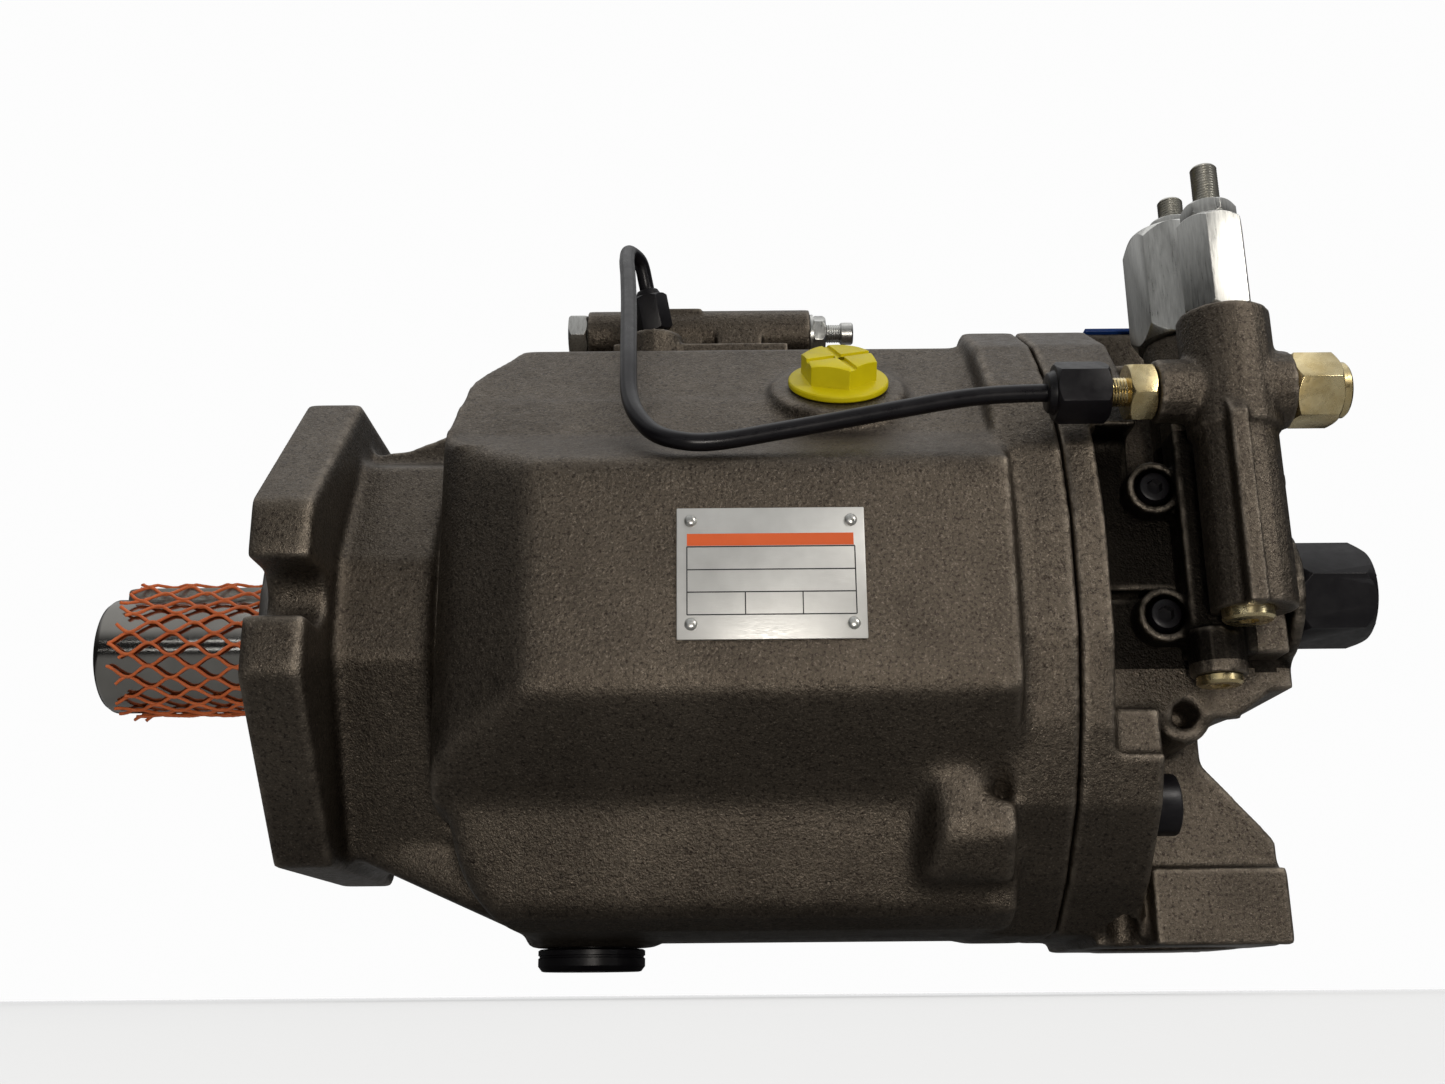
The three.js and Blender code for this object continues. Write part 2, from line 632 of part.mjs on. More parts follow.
function tubeNut(flats, length, tubeEnd, tubeAway, boreDepth) {
  const direction = tubeEnd.clone().sub(tubeAway).normalize();
  const at = (distance) => tubeEnd.clone().add(direction.clone().multiplyScalar(distance));
  const hex = hexagon(flats, at(-length), at(0), radians(6));
  const wide = flats * 0.41;
  const collar = turned([[0, 0], [wide - 1.2, 0], [wide, 3], [wide, 5], [0, 5]], at(-length - 2.5), at(0), 12);
  const bore = rod(TUBE_RADIUS + 0.4, at(-length - 6), at(boreDepth), 12);
  return hex.add(collar).subtract(bore);
}

function tubeNutFront() {
  const nut = tubeNut(19, 18, FRONT_NUT_END, vector(270, NEAR_COLUMN.y, FITTING_Z), 4);
  const seat = rod(5.3, vector(281.5, NEAR_COLUMN.y, FITTING_Z), vector(292, NEAR_COLUMN.y, FITTING_Z), 12);
  return nut.subtract(seat);
}

function tubeNutRear() {
  return tubeNut(13.4, 15, REAR_NUT_END, vector(127.3, -13, 154.4), -5);
}

add("pilot_tube", pilotTube(), blackSteel);
add("tube_nut_front", tubeNutFront(), blackSteel);

// ------------------------------------------------------ power control valve

function powerValveBody() {
  const y = POWER_VALVE_Y;
  const z = POWER_VALVE_Z;
  const low = TOP_PAD_HEIGHT + GAP;
  const parts = [rod(10.5, vector(101, y, z), vector(197, y, z), 18)];
  parts.push(box([114, -14, low], [186, y + 16, z - 18]));
  parts.push(box([120, y - 9, low], [150, y + 12, z + 9]));
  parts.push(box([157, y - 10.4, low], [176, y + 12, z]));
  parts.push(bossUnderNut());
  const tools = [rod(7.2, vector(98, y, z), vector(112, y, z), 14)];
  tools.push(rod(5.2, vector(180, y, z), vector(200, y, z), 12));
  return cut(join(parts), tools);
}

function bossUnderNut() {
  const top = REAR_NUT_END;
  return rod(12, vector(top.x, top.y, 112), vector(top.x, top.y, top.z - 4), 16);
}

function powerValvePlug() {
  const y = POWER_VALVE_Y;
  const z = POWER_VALVE_Z;
  const from = vector(101, y, z);
  return plug(6.8, 8, 17, 8.5, from, vector(90, y, z), radians(10));
}

function powerLockNut() {
  const y = POWER_VALVE_Y;
  const z = POWER_VALVE_Z;
  const collar = rod(8.4, vector(197 + GAP, y, z), vector(198.6, y, z), 16);
  const hex = hexagon(14, vector(198, y, z), vector(204, y, z), radians(12));
  return collar.add(hex).subtract(rod(4.4, vector(190, y, z), vector(210, y, z), 12));
}

function powerAdjustScrew() {
  const y = POWER_VALVE_Y;
  const z = POWER_VALVE_Z;
  const body = rod(3.9, vector(184, y, z), vector(212, y, z), 12);
  const end = rod(4.8, vector(211, y, z), vector(216, y, z), 12);
  return body.add(end);
}

add("power_valve_body", powerValveBody(), castIron);
add("power_valve_plug", powerValvePlug(), zinc);
add("power_lock_nut", powerLockNut(), zinc);
add("power_adjust_screw", powerAdjustScrew(), zinc);
add("tube_nut_rear", tubeNutRear(), blackSteel);

// ------------------------------------------------------------ drive shaft

function driveShaft() {
  const end = -SHAFT_PROJECTION;
  const profile = [[0, end], [20.5, end], [SHAFT_RADIUS, end + 2.5], [SHAFT_RADIUS, 61], [21.5, 62]];
  profile.push([21.5, 168], [20, 170], [20, 262], [17.5, 264], [17.5, 300], [0, 300]);
  const body = turned(profile, vector(0, 0, 0), vector(1, 0, 0), 32);
  const half = KEY_WIDTH / 2 + 0.1;
  const keyStart = end + KEY_SETBACK;
  const keyway = box([keyStart - 0.1, -half, SHAFT_RADIUS - 5.5], [keyStart + 0.1 + KEY_LENGTH, half, 40]);
  const centre = turned([[0, -1], [7, -1], [0, 6]], vector(end, 0, 0), vector(0, 0, 0), 12);
  const mark = rod(4, vector(end - 1, 0, 0), vector(end + 14, 0, 0), 12);
  return cut(body, [keyway, centre, mark]);
}

function shaftKey() {
  const x0 = KEY_SETBACK - SHAFT_PROJECTION;
  const z0 = SHAFT_RADIUS - 5.5 + GAP;
  const half = KEY_WIDTH / 2 - 0.2;
  const r = half;
  const middle = box([x0 + 0.3 + r, -half, z0], [x0 + KEY_LENGTH - r - 0.3, half, z0 + KEY_HEIGHT]);
  const front = rod(r, vector(x0 + 0.3 + r, 0, z0), vector(x0 + 0.3 + r, 0, z0 + KEY_HEIGHT), 16);
  const backX = x0 + KEY_LENGTH - r - 0.3;
  const back = rod(r, vector(backX, 0, z0), vector(backX, 0, z0 + KEY_HEIGHT), 16);
  return join([middle, front, back]);
}

function netSleeve() {
  const low = [[27.6, 0], [28.6, 0], [28.6, 72], [27.6, 72], [27.6, 0]];
  return turned(low, vector(-78, 0, 0), vector(0, 0, 0), 28);
}

add("drive_shaft", driveShaft(), groundSteel);
add("shaft_key", shaftKey(), blackSteel);
add("net_sleeve", netSleeve(), orangePlastic);

function cylinderBlock() {
  const end = PARTING_X - VALVE_PLATE_THICKNESS - GAP;
  const outside = ring(20 + GAP, BLOCK_RADIUS, vector(BLOCK_X, 0, 0), vector(end, 0, 0), 36);
  const tools = [];
  for (let index = 0; index < PISTON_COUNT; index++) {
    const angle = radians((360 / PISTON_COUNT) * index);
    const y = PISTON_PITCH_RADIUS * Math.cos(angle);
    const z = PISTON_PITCH_RADIUS * Math.sin(angle);
    tools.push(rod(PISTON_BORE_RADIUS, vector(BLOCK_X - 2, y, z), vector(240, y, z), 12));
    tools.push(rod(5.5, vector(236, y, z), vector(end + 2, y, z), 6));
  }
  return cut(outside, tools);
}

add("cylinder_block", cylinderBlock(), groundSteel);

// --------------------------------------------------- swashplate and its group

const tilt = new THREE.Matrix4()
  .makeTranslation(PIVOT_X, 0, 0)
  .multiply(new THREE.Matrix4().makeRotationZ(radians(MAX_TILT)));

function tilted(solid) {
  const geometry = geometryOf(solid);
  geometry.applyMatrix4(tilt);
  return solidOf(geometry);
}

function swashplate() {
  const cylinder = rod(CRADLE_RADIUS, vector(0, 0, -61), vector(0, 0, 61), 40);
  const round = rod(79, vector(-80, 0, 0), vector(0, 0, 0), 32);
  const block = cylinder.intersect(box([-80, -62, -62], [SWASH_FACE, 62, 62])).intersect(round);
  const arms = box([-28, -85, -12], [-8, 85, 12]);
  const middle = box([SWASH_FACE, -61.8, -30], [0, 61.8, 30]);
  const hole = [[-8, -25], [-8, 31], [-78, 53], [-78, -25]];
  return cut(block.add(arms.subtract(middle)), [alongZ(hole.reverse(), -24.5, 24.5)]);
}

function retainerPlate() {
  const plate = ring(28, 60.5, vector(-7.3, 0, 0), vector(-3.6, 0, 0), 36);
  const tools = [];
  for (let index = 0; index < PISTON_COUNT; index++) {
    const [y, z] = ballPlace(index);
    tools.push(rod(12.8, vector(-9, y, z), vector(0, y, z), 12));
  }
  return cut(plate, tools);
}

function ballPlace(index) {
  const angle = radians((360 / PISTON_COUNT) * index);
  return [BALL_CIRCLE_RADIUS * Math.cos(angle), BALL_CIRCLE_RADIUS * Math.sin(angle)];
}

function slipper(index) {
  const [y, z] = ballPlace(index);
  const profile = [[0, -11.6], [SLIPPER_RADIUS, -11.6], [SLIPPER_RADIUS, -7.7], [12.2, -7.7], [12.2, 3]];
  profile.push([9.2, 3], [9.6, 0], [8.6, -4.6], [5.2, -8.2], [0, -9.9]);
  return turned(profile, vector(0, y, z), vector(1, y, z), 10);
}

function piston(index) {
  const [y, z] = ballPlace(index);
  const centre = vector(0, y, z).applyMatrix4(tilt);
  const r = BALL_RADIUS - 0.4;
  const profile = [[0, -r]];
  for (const angle of [-50, 0, 45]) {
    profile.push([r * Math.cos(radians(angle)), r * Math.sin(radians(angle))]);
  }
  profile.push([5.4, 13], [PISTON_RADIUS, 16], [PISTON_RADIUS, 66], [0, 66]);
  return turned(profile, centre, centre.clone().add(vector(1, 0, 0)), 10);
}

add("swashplate", tilted(swashplate()), groundSteel);
add("retainer_plate", tilted(retainerPlate()), groundSteel);
for (let index = 0; index < PISTON_COUNT; index++) {
  add("slipper_" + (index + 1), tilted(slipper(index)), bronze);
  add("piston_" + (index + 1), piston(index), groundSteel);
}

// Where the round tip of a control piston rests against the tilted arm.
function tipPlace(side, gap) {
  const angle = radians(MAX_TILT);
  return PIVOT_X + (2 + gap - side * LEVER_ARM * Math.sin(angle)) / Math.cos(angle);
}

function controlPiston(side, gap, headStart, headEnd) {
  const tip = tipPlace(side, gap);
  const y = side * LEVER_ARM;
  const profile = [[0, -10], [5, -8.66], [8.66, -5], [10, 0], [10, headStart - tip]];
  profile.push([CONTROL_PISTON_RADIUS, headStart - tip], [CONTROL_PISTON_RADIUS, headEnd - tip]);
  profile.push([0, headEnd - tip]);
  return turned(profile, vector(tip, y, 0), vector(tip + 1, y, 0), 16);
}

add("stroking_piston", controlPiston(-1, 0.4, 200, 262), groundSteel);
add("bias_piston", controlPiston(1, 0.7, 200, 245), groundSteel);

export default pump;
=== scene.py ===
import bmesh
import bpy
import json
import math
import numpy as np
from mathutils import Matrix, Vector

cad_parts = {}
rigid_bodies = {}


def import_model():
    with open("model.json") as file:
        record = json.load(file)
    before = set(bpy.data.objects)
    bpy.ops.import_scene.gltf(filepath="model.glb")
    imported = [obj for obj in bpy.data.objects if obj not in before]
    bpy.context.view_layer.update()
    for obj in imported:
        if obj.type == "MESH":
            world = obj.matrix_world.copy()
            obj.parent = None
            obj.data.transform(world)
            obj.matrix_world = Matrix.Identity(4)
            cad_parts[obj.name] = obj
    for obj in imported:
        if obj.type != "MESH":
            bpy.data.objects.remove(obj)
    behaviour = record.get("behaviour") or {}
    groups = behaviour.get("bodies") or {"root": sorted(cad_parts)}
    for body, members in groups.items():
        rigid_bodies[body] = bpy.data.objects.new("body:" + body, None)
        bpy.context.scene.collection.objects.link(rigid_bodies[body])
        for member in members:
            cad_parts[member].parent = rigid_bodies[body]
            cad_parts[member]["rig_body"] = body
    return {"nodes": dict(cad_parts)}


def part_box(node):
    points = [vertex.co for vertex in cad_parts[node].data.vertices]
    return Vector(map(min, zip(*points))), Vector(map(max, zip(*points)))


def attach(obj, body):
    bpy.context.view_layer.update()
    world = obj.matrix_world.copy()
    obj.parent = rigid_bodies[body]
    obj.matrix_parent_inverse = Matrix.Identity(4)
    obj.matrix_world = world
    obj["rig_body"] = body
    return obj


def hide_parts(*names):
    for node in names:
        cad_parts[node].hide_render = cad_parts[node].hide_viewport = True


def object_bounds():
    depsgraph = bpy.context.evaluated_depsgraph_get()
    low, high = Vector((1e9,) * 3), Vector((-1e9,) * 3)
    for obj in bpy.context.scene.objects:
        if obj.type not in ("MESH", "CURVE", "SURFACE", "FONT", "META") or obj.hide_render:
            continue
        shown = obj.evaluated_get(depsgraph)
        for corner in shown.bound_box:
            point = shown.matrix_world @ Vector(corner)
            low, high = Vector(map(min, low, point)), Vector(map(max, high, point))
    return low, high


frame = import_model()
cad_low, cad_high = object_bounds()
NODES = frame["nodes"]
MM = 0.001
ALONG_X = Vector((1, 0, 0))
DOWN = Vector((0, 0, -1))
UP = Vector((0, 0, 1))
NEAR = Vector((0, -1, 0))

# sizes and places in mm
SHAFT_RADIUS = 22.5
KEY_HALF_WIDTH = 6.8
KEY_TOP = 26.3
TUBE_RADIUS = 3.1
FRONT_NUT_Y, FRONT_NUT_Z = -112, 63.5

# the recess behind the control valve, which is given painted shade, in mm
RECESS_LOW, RECESS_HIGH = -27, 75

# camera: lens and sensor in mm, distances in metres
LENS = 37.37
SENSOR = 36.0
CAMERA_TILT = math.radians(16.6)
CAMERA_RISE = 0.042
CAMERA_DISTANCE = 0.597

# the floor is this far below the pump, in metres, so that the low camera stays above it
FLOOR_DROP = 0.0098


# ------------------------------------------------------------------ helpers

def mm(x, y, z):
    return Vector((x * MM, y * MM, z * MM))


def new_object(name, mesh):
    obj = bpy.data.objects.new(name, mesh)
    bpy.context.scene.collection.objects.link(obj)
    return obj


def from_lists(name, verts, faces):
    mesh = bpy.data.meshes.new(name)
    mesh.from_pydata([tuple(v) for v in verts], [], faces)
    mesh.update()
    return new_object(name, mesh)


def frame_of(direction):
    """Two unit vectors square to direction, chosen the same way each time."""
    d = direction.normalized()
    helper = Vector((0, 0, 1)) if abs(d.z) < 0.9 else Vector((1, 0, 0))
    u = (helper - d * helper.dot(d)).normalized()
    return u, d.cross(u)


def lathe(name, profile, origin, direction, sides=64, roll=0.0):
    """Turns [radius, distance] pairs, in mm, about the line from origin. Ends on the axis close it."""
    u, v = frame_of(direction)
    d = direction.normalized()
    verts, rings = [], []
    for radius, along in profile:
        if radius < 1e-6:
            rings.append([len(verts)])
            verts.append(origin + d * along * MM)
            continue
        ring = []
        for k in range(sides):
            a = 2 * math.pi * k / sides + roll
            ring.append(len(verts))
            side = (u * math.cos(a) + v * math.sin(a)) * radius * MM
            verts.append(origin + d * along * MM + side)
        rings.append(ring)
    faces = []
    pairs = list(zip(rings, rings[1:]))
    for a, b in pairs:
        for k in range(sides):
            n = (k + 1) % sides
            if len(a) == 1 and len(b) == 1:
                continue
            if len(a) == 1:
                faces.append((a[0], b[k], b[n]))
            elif len(b) == 1:
                faces.append((a[n], a[k], b[0]))
            else:
                faces.append((a[k], b[k], b[n], a[n]))
    obj = from_lists(name, verts, faces)
    fix_normals(obj)
    return obj


def fix_normals(obj):
    bm = bmesh.new()
    bm.from_mesh(obj.data)
    bmesh.ops.remove_doubles(bm, verts=bm.verts, dist=1e-7)
    bmesh.ops.recalc_face_normals(bm, faces=bm.faces)
    bm.to_mesh(obj.data)
    bm.free()
    return obj


def bake(obj):
    """Applies the modifiers by replacing the mesh with its evaluated one."""
    bpy.context.view_layer.update()
    evaluated = obj.evaluated_get(bpy.context.evaluated_depsgraph_get())
    mesh = bpy.data.meshes.new_from_object(evaluated)
    obj.modifiers.clear()
    obj.data = mesh
    return obj


def delete(*objs):
    for o in objs:
        bpy.data.objects.remove(o, do_unlink=True)


def boolean(obj, tool, operation):
    m = obj.modifiers.new("cut", "BOOLEAN")
    m.operation = operation
    m.solver = "EXACT"
    m.object = tool
    bake(obj)
    delete(tool)
    return obj


def join(name, objs):
    bm = bmesh.new()
    for o in objs:
        start = len(bm.verts)
        bm.from_mesh(o.data)
        bm.verts.ensure_lookup_table()
        for v in bm.verts[start:]:
            v.co = o.matrix_world @ v.co
    mesh = bpy.data.meshes.new(name)
    bm.to_mesh(mesh)
    bm.free()
    delete(*objs)
    return new_object(name, mesh)


def bevel(obj, width, segments=2, angle=35):
    m = obj.modifiers.new("edge", "BEVEL")
    m.width = width * MM
    m.segments = segments
    m.limit_method = "ANGLE"
    m.angle_limit = math.radians(angle)
    return bake(obj)


def smooth(obj, angle=40):
    obj.data.shade_smooth()
    obj.data.set_sharp_from_angle(angle=math.radians(angle))
    return obj


def block(name, low, high):
    x0, y0, z0 = (c * MM for c in low)
    x1, y1, z1 = (c * MM for c in high)
    verts = [(x, y, z) for x in (x0, x1) for y in (y0, y1) for z in (z0, z1)]
    faces = [(0, 1, 3, 2), (4, 6, 7, 5), (0, 4, 5, 1), (2, 3, 7, 6), (0, 2, 6, 4), (1, 5, 7, 3)]
    return fix_normals(from_lists(name, verts, faces))


def rod(name, radius, a, b, sides=48):
    length = (b - a).length / MM
    return lathe(name, [(0, 0), (radius, 0), (radius, length), (0, length)], a, b - a, sides)


def hexagon(name, flats, a, b, roll=0.0, chamfer=0.55, edge=0.25):
    """A hexagonal bar with turned chamfers at both ends."""
    length = (b - a).length / MM
    corner = flats / math.sqrt(3)
    inset = (corner - flats / 2) * chamfer
    profile = [(0, 0), (corner, 0), (corner, length), (0, length)]
    bar = lathe(name, profile, a, b - a, 6, roll)
    c = corner + 0.4
    f = flats / 2 - 0.1
    turn = [(0, 0), (f, 0), (c, inset + 0.35), (c, length - inset - 0.35), (f, length), (0, length)]
    boolean(bar, lathe("turn", turn, a, b - a, 72), "INTERSECT")
    if edge:
        bevel(bar, edge, 2, 40)
    return smooth(bar, 30)


def thread(name, radius, pitch, depth, a, b, sides=28):
    """A screw: a closed bar whose surface follows a helical ridge."""
    length = (b - a).length / MM
    u, v = frame_of(b - a)
    d = (b - a).normalized()
    steps = max(6, int(length / pitch * 8))
    verts, faces = [], []
    for i in range(steps + 1):
        along = length * i / steps
        fade = min(1.0, (length - along) / (0.8 * pitch), along / (0.8 * pitch))
        for k in range(sides):
            phase = (along / pitch - k / sides) % 1.0
            ridge = abs(phase * 2 - 1)
            taper = 1.0 if fade > 0.99 else 0.0
            r = radius - depth * ridge * taper - depth * 1.1 * (1 - fade)
            angle = 2 * math.pi * k / sides
            side = (u * math.cos(angle) + v * math.sin(angle)) * r * MM
            verts.append(a + d * along * MM + side)
    for i in range(steps):
        for k in range(sides):
            n = (k + 1) % sides
            faces.append((i * sides + k, (i + 1) * sides + k, (i + 1) * sides + n, i * sides + n))
    faces.append(tuple(range(sides)))
    faces.append(tuple(steps * sides + k for k in reversed(range(sides))))
    obj = from_lists(name, verts, faces)
    fix_normals(obj)
    return smooth(obj, 50)


def put(obj, node, material, body=None):
    """obj stands for a CAD node: it takes the node's body and a material."""
    obj.data.materials.clear()
    obj.data.materials.append(material)
    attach(obj, body or NODES[node]["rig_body"])
    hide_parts(node)
    return obj


def extra(obj, body, material):
    obj.data.materials.clear()
    obj.data.materials.append(material)
    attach(obj, body)
    return obj


# ---------------------------------------------------------------- materials

class Paint:
    """A node tree with short calls for the nodes used here."""

    def __init__(self, name):
        self.material = bpy.data.materials.new(name)
        self.material.use_nodes = True
        self.tree = self.material.node_tree
        self.shader = self.tree.nodes["Principled BSDF"]
        self.where = self.tree.nodes.new("ShaderNodeTexCoord").outputs["Object"]

    def link(self, a, b):
        self.tree.links.new(a, b)

    def noise(self, scale, detail=4.0, rough=0.55, stretch=None):
        n = self.tree.nodes.new("ShaderNodeTexNoise")
        n.inputs["Scale"].default_value = scale
        n.inputs["Detail"].default_value = detail
        n.inputs["Roughness"].default_value = rough
        self.link(self.stretched(stretch), n.inputs["Vector"])
        return n.outputs["Fac"]

    def cells(self, scale, feature="F1"):
        n = self.tree.nodes.new("ShaderNodeTexVoronoi")
        n.feature = feature
        n.inputs["Scale"].default_value = scale
        self.link(self.where, n.inputs["Vector"])
        return n.outputs["Distance"]

    def stretched(self, stretch):
        if not stretch:
            return self.where
        m = self.tree.nodes.new("ShaderNodeMapping")
        m.inputs["Scale"].default_value = stretch
        self.link(self.where, m.inputs["Vector"])
        return m.outputs["Vector"]

    def ramp(self, source, stops):
        r = self.tree.nodes.new("ShaderNodeValToRGB")
        elements = r.color_ramp.elements
        while len(elements) > 1:
            elements.remove(elements[-1])
        for i, (place, colour) in enumerate(stops):
            e = elements[0] if i == 0 else elements.new(place)
            e.position = place
            e.color = (*colour, 1) if isinstance(colour, tuple) else (colour, colour, colour, 1)
        self.link(source, r.inputs["Fac"])
        return r.outputs["Color"]

    def mix(self, factor, a, b, kind="MIX"):
        m = self.tree.nodes.new("ShaderNodeMix")
        m.data_type = "RGBA"
        m.blend_type = kind
        for socket, value in ((m.inputs["Factor"], factor), (m.inputs["A"], a), (m.inputs["B"], b)):
            if isinstance(value, (int, float)):
                socket.default_value = value
            elif isinstance(value, tuple):
                socket.default_value = (*value, 1)
            else:
                self.link(value, socket)
        return m.outputs["Result"]

    def maths(self, kind, a, b=0.0, clamp=False):
        m = self.tree.nodes.new("ShaderNodeMath")
        m.operation = kind
        m.use_clamp = clamp
        for socket, value in ((m.inputs[0], a), (m.inputs[1], b)):
            if isinstance(value, (int, float)):
                socket.default_value = value
            else:
                self.link(value, socket)
        return m.outputs[0]

    def bump(self, height, distance, strength=1.0):
        b = self.tree.nodes.new("ShaderNodeBump")
        b.inputs["Distance"].default_value = distance
        b.inputs["Strength"].default_value = strength
        self.link(height, b.inputs["Height"])
        self.link(b.outputs["Normal"], self.shader.inputs["Normal"])

    def edges(self, low, high):
        g = self.tree.nodes.new("ShaderNodeNewGeometry")
        return self.ramp(g.outputs["Pointiness"], [(low, 0.0), (high, 1.0)])

    def set(self, **values):
        for key, value in values.items():
            socket = self.shader.inputs[key.replace("_", " ")]
            if isinstance(value, (int, float)):
                socket.default_value = value
            elif isinstance(value, tuple):
                socket.default_value = (*value, 1)
            else:
                self.link(value, socket)
        return self


def cast_iron(name, light=1.0):
    """Sand casting under a thin dark brown-grey coat: pitted, mottled, flecked with painted glints, and
    lightened on its edges partly by rubbing and partly as a painted highlight.
    """
    p = Paint(name)
    broad = p.noise(26, 6, 0.62)
    fine = p.noise(780, 4, 0.7)
    dark = tuple(c * light for c in (0.070, 0.0580, 0.0455))
    pale = tuple(c * light for c in (0.118, 0.0985, 0.0770))
    deep = tuple(c * light for c in (0.026, 0.020, 0.017))
    painted_glint = tuple(c * light for c in (0.40, 0.345, 0.28))
    worn_and_highlight = (0.40, 0.345, 0.28)
    base = p.ramp(broad, [(0.30, dark), (0.72, pale)])
    base = p.mix(p.ramp(fine, [(0.50, 0.0), (0.66, 0.9)]), base, deep)
    # painted glints: bright specks at random over the coat
    base = p.mix(p.ramp(p.noise(1150, 3, 0.7), [(0.55, 0.0), (0.72, 0.34)]), base, painted_glint)
    grains = p.ramp(p.cells(800), [(0.0, 0.6), (0.20, 0.0)])
    glint = p.maths("MULTIPLY", grains, p.ramp(p.noise(70, 3, 0.6), [(0.44, 0.0), (0.66, 0.9)]))
    # more painted glints on the sand grains
    base = p.mix(glint, base, painted_glint)
    patches = p.ramp(p.noise(150, 4, 0.6), [(0.35, 0.08), (0.7, 0.75)])
    # convex edges lightened: partly rubbed wear, partly a painted highlight along the ridges
    rub_and_highlight = p.maths("MULTIPLY", p.edges(0.508, 0.56), patches)
    base = p.mix(rub_and_highlight, base, worn_and_highlight)
    rough = p.ramp(p.noise(240, 4, 0.6), [(0.3, 0.36), (0.7, 0.50)])
    skin = p.mix(0.5, p.noise(420, 3, 0.65), p.noise(1250, 3, 0.65))
    p.set(Base_Color=base, Roughness=rough, Metallic=0.95)
    p.shader.inputs["Specular IOR Level"].default_value = 0.5
    p.bump(skin, 0.0006, 1.0)
    return p.material


def machined(name, colour, stretch, scale=900, rough=(0.22, 0.42), metal=0.95):
    """Turned or milled metal with fine tool marks along one direction."""
    p = Paint(name)
    marks = p.noise(scale, 3, 0.6, stretch)
    broad = p.noise(30, 4, 0.6)
    dark = tuple(c * 0.72 for c in colour)
    base = p.ramp(broad, [(0.3, dark), (0.7, colour)])
    p.set(Base_Color=base, Roughness=p.ramp(marks, [(0.3, rough[0]), (0.7, rough[1])]), Metallic=metal)
    p.bump(marks, 0.00004, 0.6)
    return p.material


def zinc_plate(name):
    """Bright zinc on drawn hexagon bar: smooth, with faint streaks along it and a few dull spots."""
    p = Paint(name)
    streaks = p.noise(160, 4, 0.6, (9, 9, 1))
    base = p.ramp(streaks, [(0.30, (0.42, 0.42, 0.40)), (0.68, (0.60, 0.60, 0.575))])
    stain = p.ramp(p.noise(330, 4, 0.7), [(0.62, 0.0), (0.76, 0.4)])
    base = p.mix(stain, base, (0.30, 0.295, 0.275))
    p.set(Base_Color=base, Roughness=p.ramp(streaks, [(0.3, 0.26), (0.7, 0.38)]), Metallic=1.0)
    p.bump(streaks, 0.00003, 0.5)
    return p.material


def brass(name):
    p = Paint(name)
    cloud = p.noise(95, 5, 0.6)
    base = p.ramp(cloud, [(0.3, (0.54, 0.42, 0.20)), (0.66, (0.80, 0.69, 0.42))])
    base = p.mix(p.ramp(p.noise(260, 4, 0.7), [(0.60, 0.0), (0.72, 0.35)]), base, (0.30, 0.21, 0.10))
    p.set(Base_Color=base, Roughness=p.ramp(p.noise(330, 4, 0.6), [(0.3, 0.20), (0.7, 0.36)]), Metallic=1.0)
    p.bump(p.noise(800, 3, 0.6), 0.00005, 0.6)
    return p.material


def black_oxide(name, rough=(0.30, 0.46), relief=0.00005):
    p = Paint(name)
    base = p.ramp(p.noise(60, 5, 0.6), [(0.3, (0.0032, 0.0026, 0.0038)), (0.7, (0.0065, 0.0056, 0.0072))])
    base = p.mix(p.ramp(p.noise(300, 4, 0.6), [(0.60, 0.0), (0.75, 0.30)]), base, (0.022, 0.021, 0.021))
    p.set(Base_Color=base, Roughness=p.ramp(p.noise(240, 4, 0.6), [(0.3, rough[0]), (0.7, rough[1])]))
    p.shader.inputs["Metallic"].default_value = 0.2
    p.shader.inputs["Specular IOR Level"].default_value = 0.32
    p.bump(p.noise(520, 3, 0.6), relief, 0.6)
    return p.material


def plastic(name, colour, shade, rough=(0.36, 0.5), grain=700, sheen=0.35):
    p = Paint(name)
    base = p.ramp(p.noise(45, 4, 0.6), [(0.3, shade), (0.7, colour)])
    p.set(Base_Color=base, Roughness=p.ramp(p.noise(180, 3, 0.6), [(0.3, rough[0]), (0.7, rough[1])]))
    p.shader.inputs["Subsurface Weight"].default_value = 0.12
    p.shader.inputs["Subsurface Radius"].default_value = (0.004, 0.003, 0.001)
    p.shader.inputs["Subsurface Scale"].default_value = 1.0
    p.shader.inputs["Specular IOR Level"].default_value = sheen
    p.bump(p.noise(grain, 3, 0.6), 0.00006, 0.5)
    return p.material


IRON = cast_iron("cast_iron_coat")
IRON_VALVE = cast_iron("cast_iron_valve", 0.95)
# a copy at 0.13 brightness: painted shade for the recess behind the control valve
IRON_PAINTED_SHADE = cast_iron("cast_iron_painted_shade", 0.13)
FACED = machined("faced_iron", (0.20, 0.19, 0.18), (1, 1, 1), 700, (0.3, 0.5), 0.8)
GROUND = machined("ground_shaft", (0.40, 0.385, 0.355), (9, 1, 1), 500, (0.09, 0.17), 1.0)
STEEL = machined("turned_steel", (0.42, 0.41, 0.40), (1, 1, 1), 800, (0.24, 0.44), 1.0)
SCREW = machined("screw_steel", (0.42, 0.41, 0.37), (1, 1, 1), 900, (0.3, 0.5), 0.95)
BRONZE = machined("bearing_bronze", (0.50, 0.29, 0.12), (1, 1, 1), 700, (0.3, 0.5), 0.95)
ZINC = zinc_plate("bright_zinc")
BRASS = brass("yellow_brass")
BLACK = black_oxide("black_oxide")
TUBE_BLACK = black_oxide("tube_black", (0.26, 0.38), 0.00002)
YELLOW = plastic("yellow_moulding", (0.66, 0.56, 0.004), (0.52, 0.43, 0.003), sheen=0.2)
ORANGE = plastic("orange_net", (0.86, 0.21, 0.065), (0.62, 0.13, 0.036), (0.4, 0.55), 900)
BLUE = plastic("blue_moulding", (0.012, 0.06, 0.26), (0.008, 0.04, 0.19))
PLATE = machined("plate_aluminium", (0.66, 0.66, 0.64), (1, 1, 6), 600, (0.34, 0.52), 0.55)
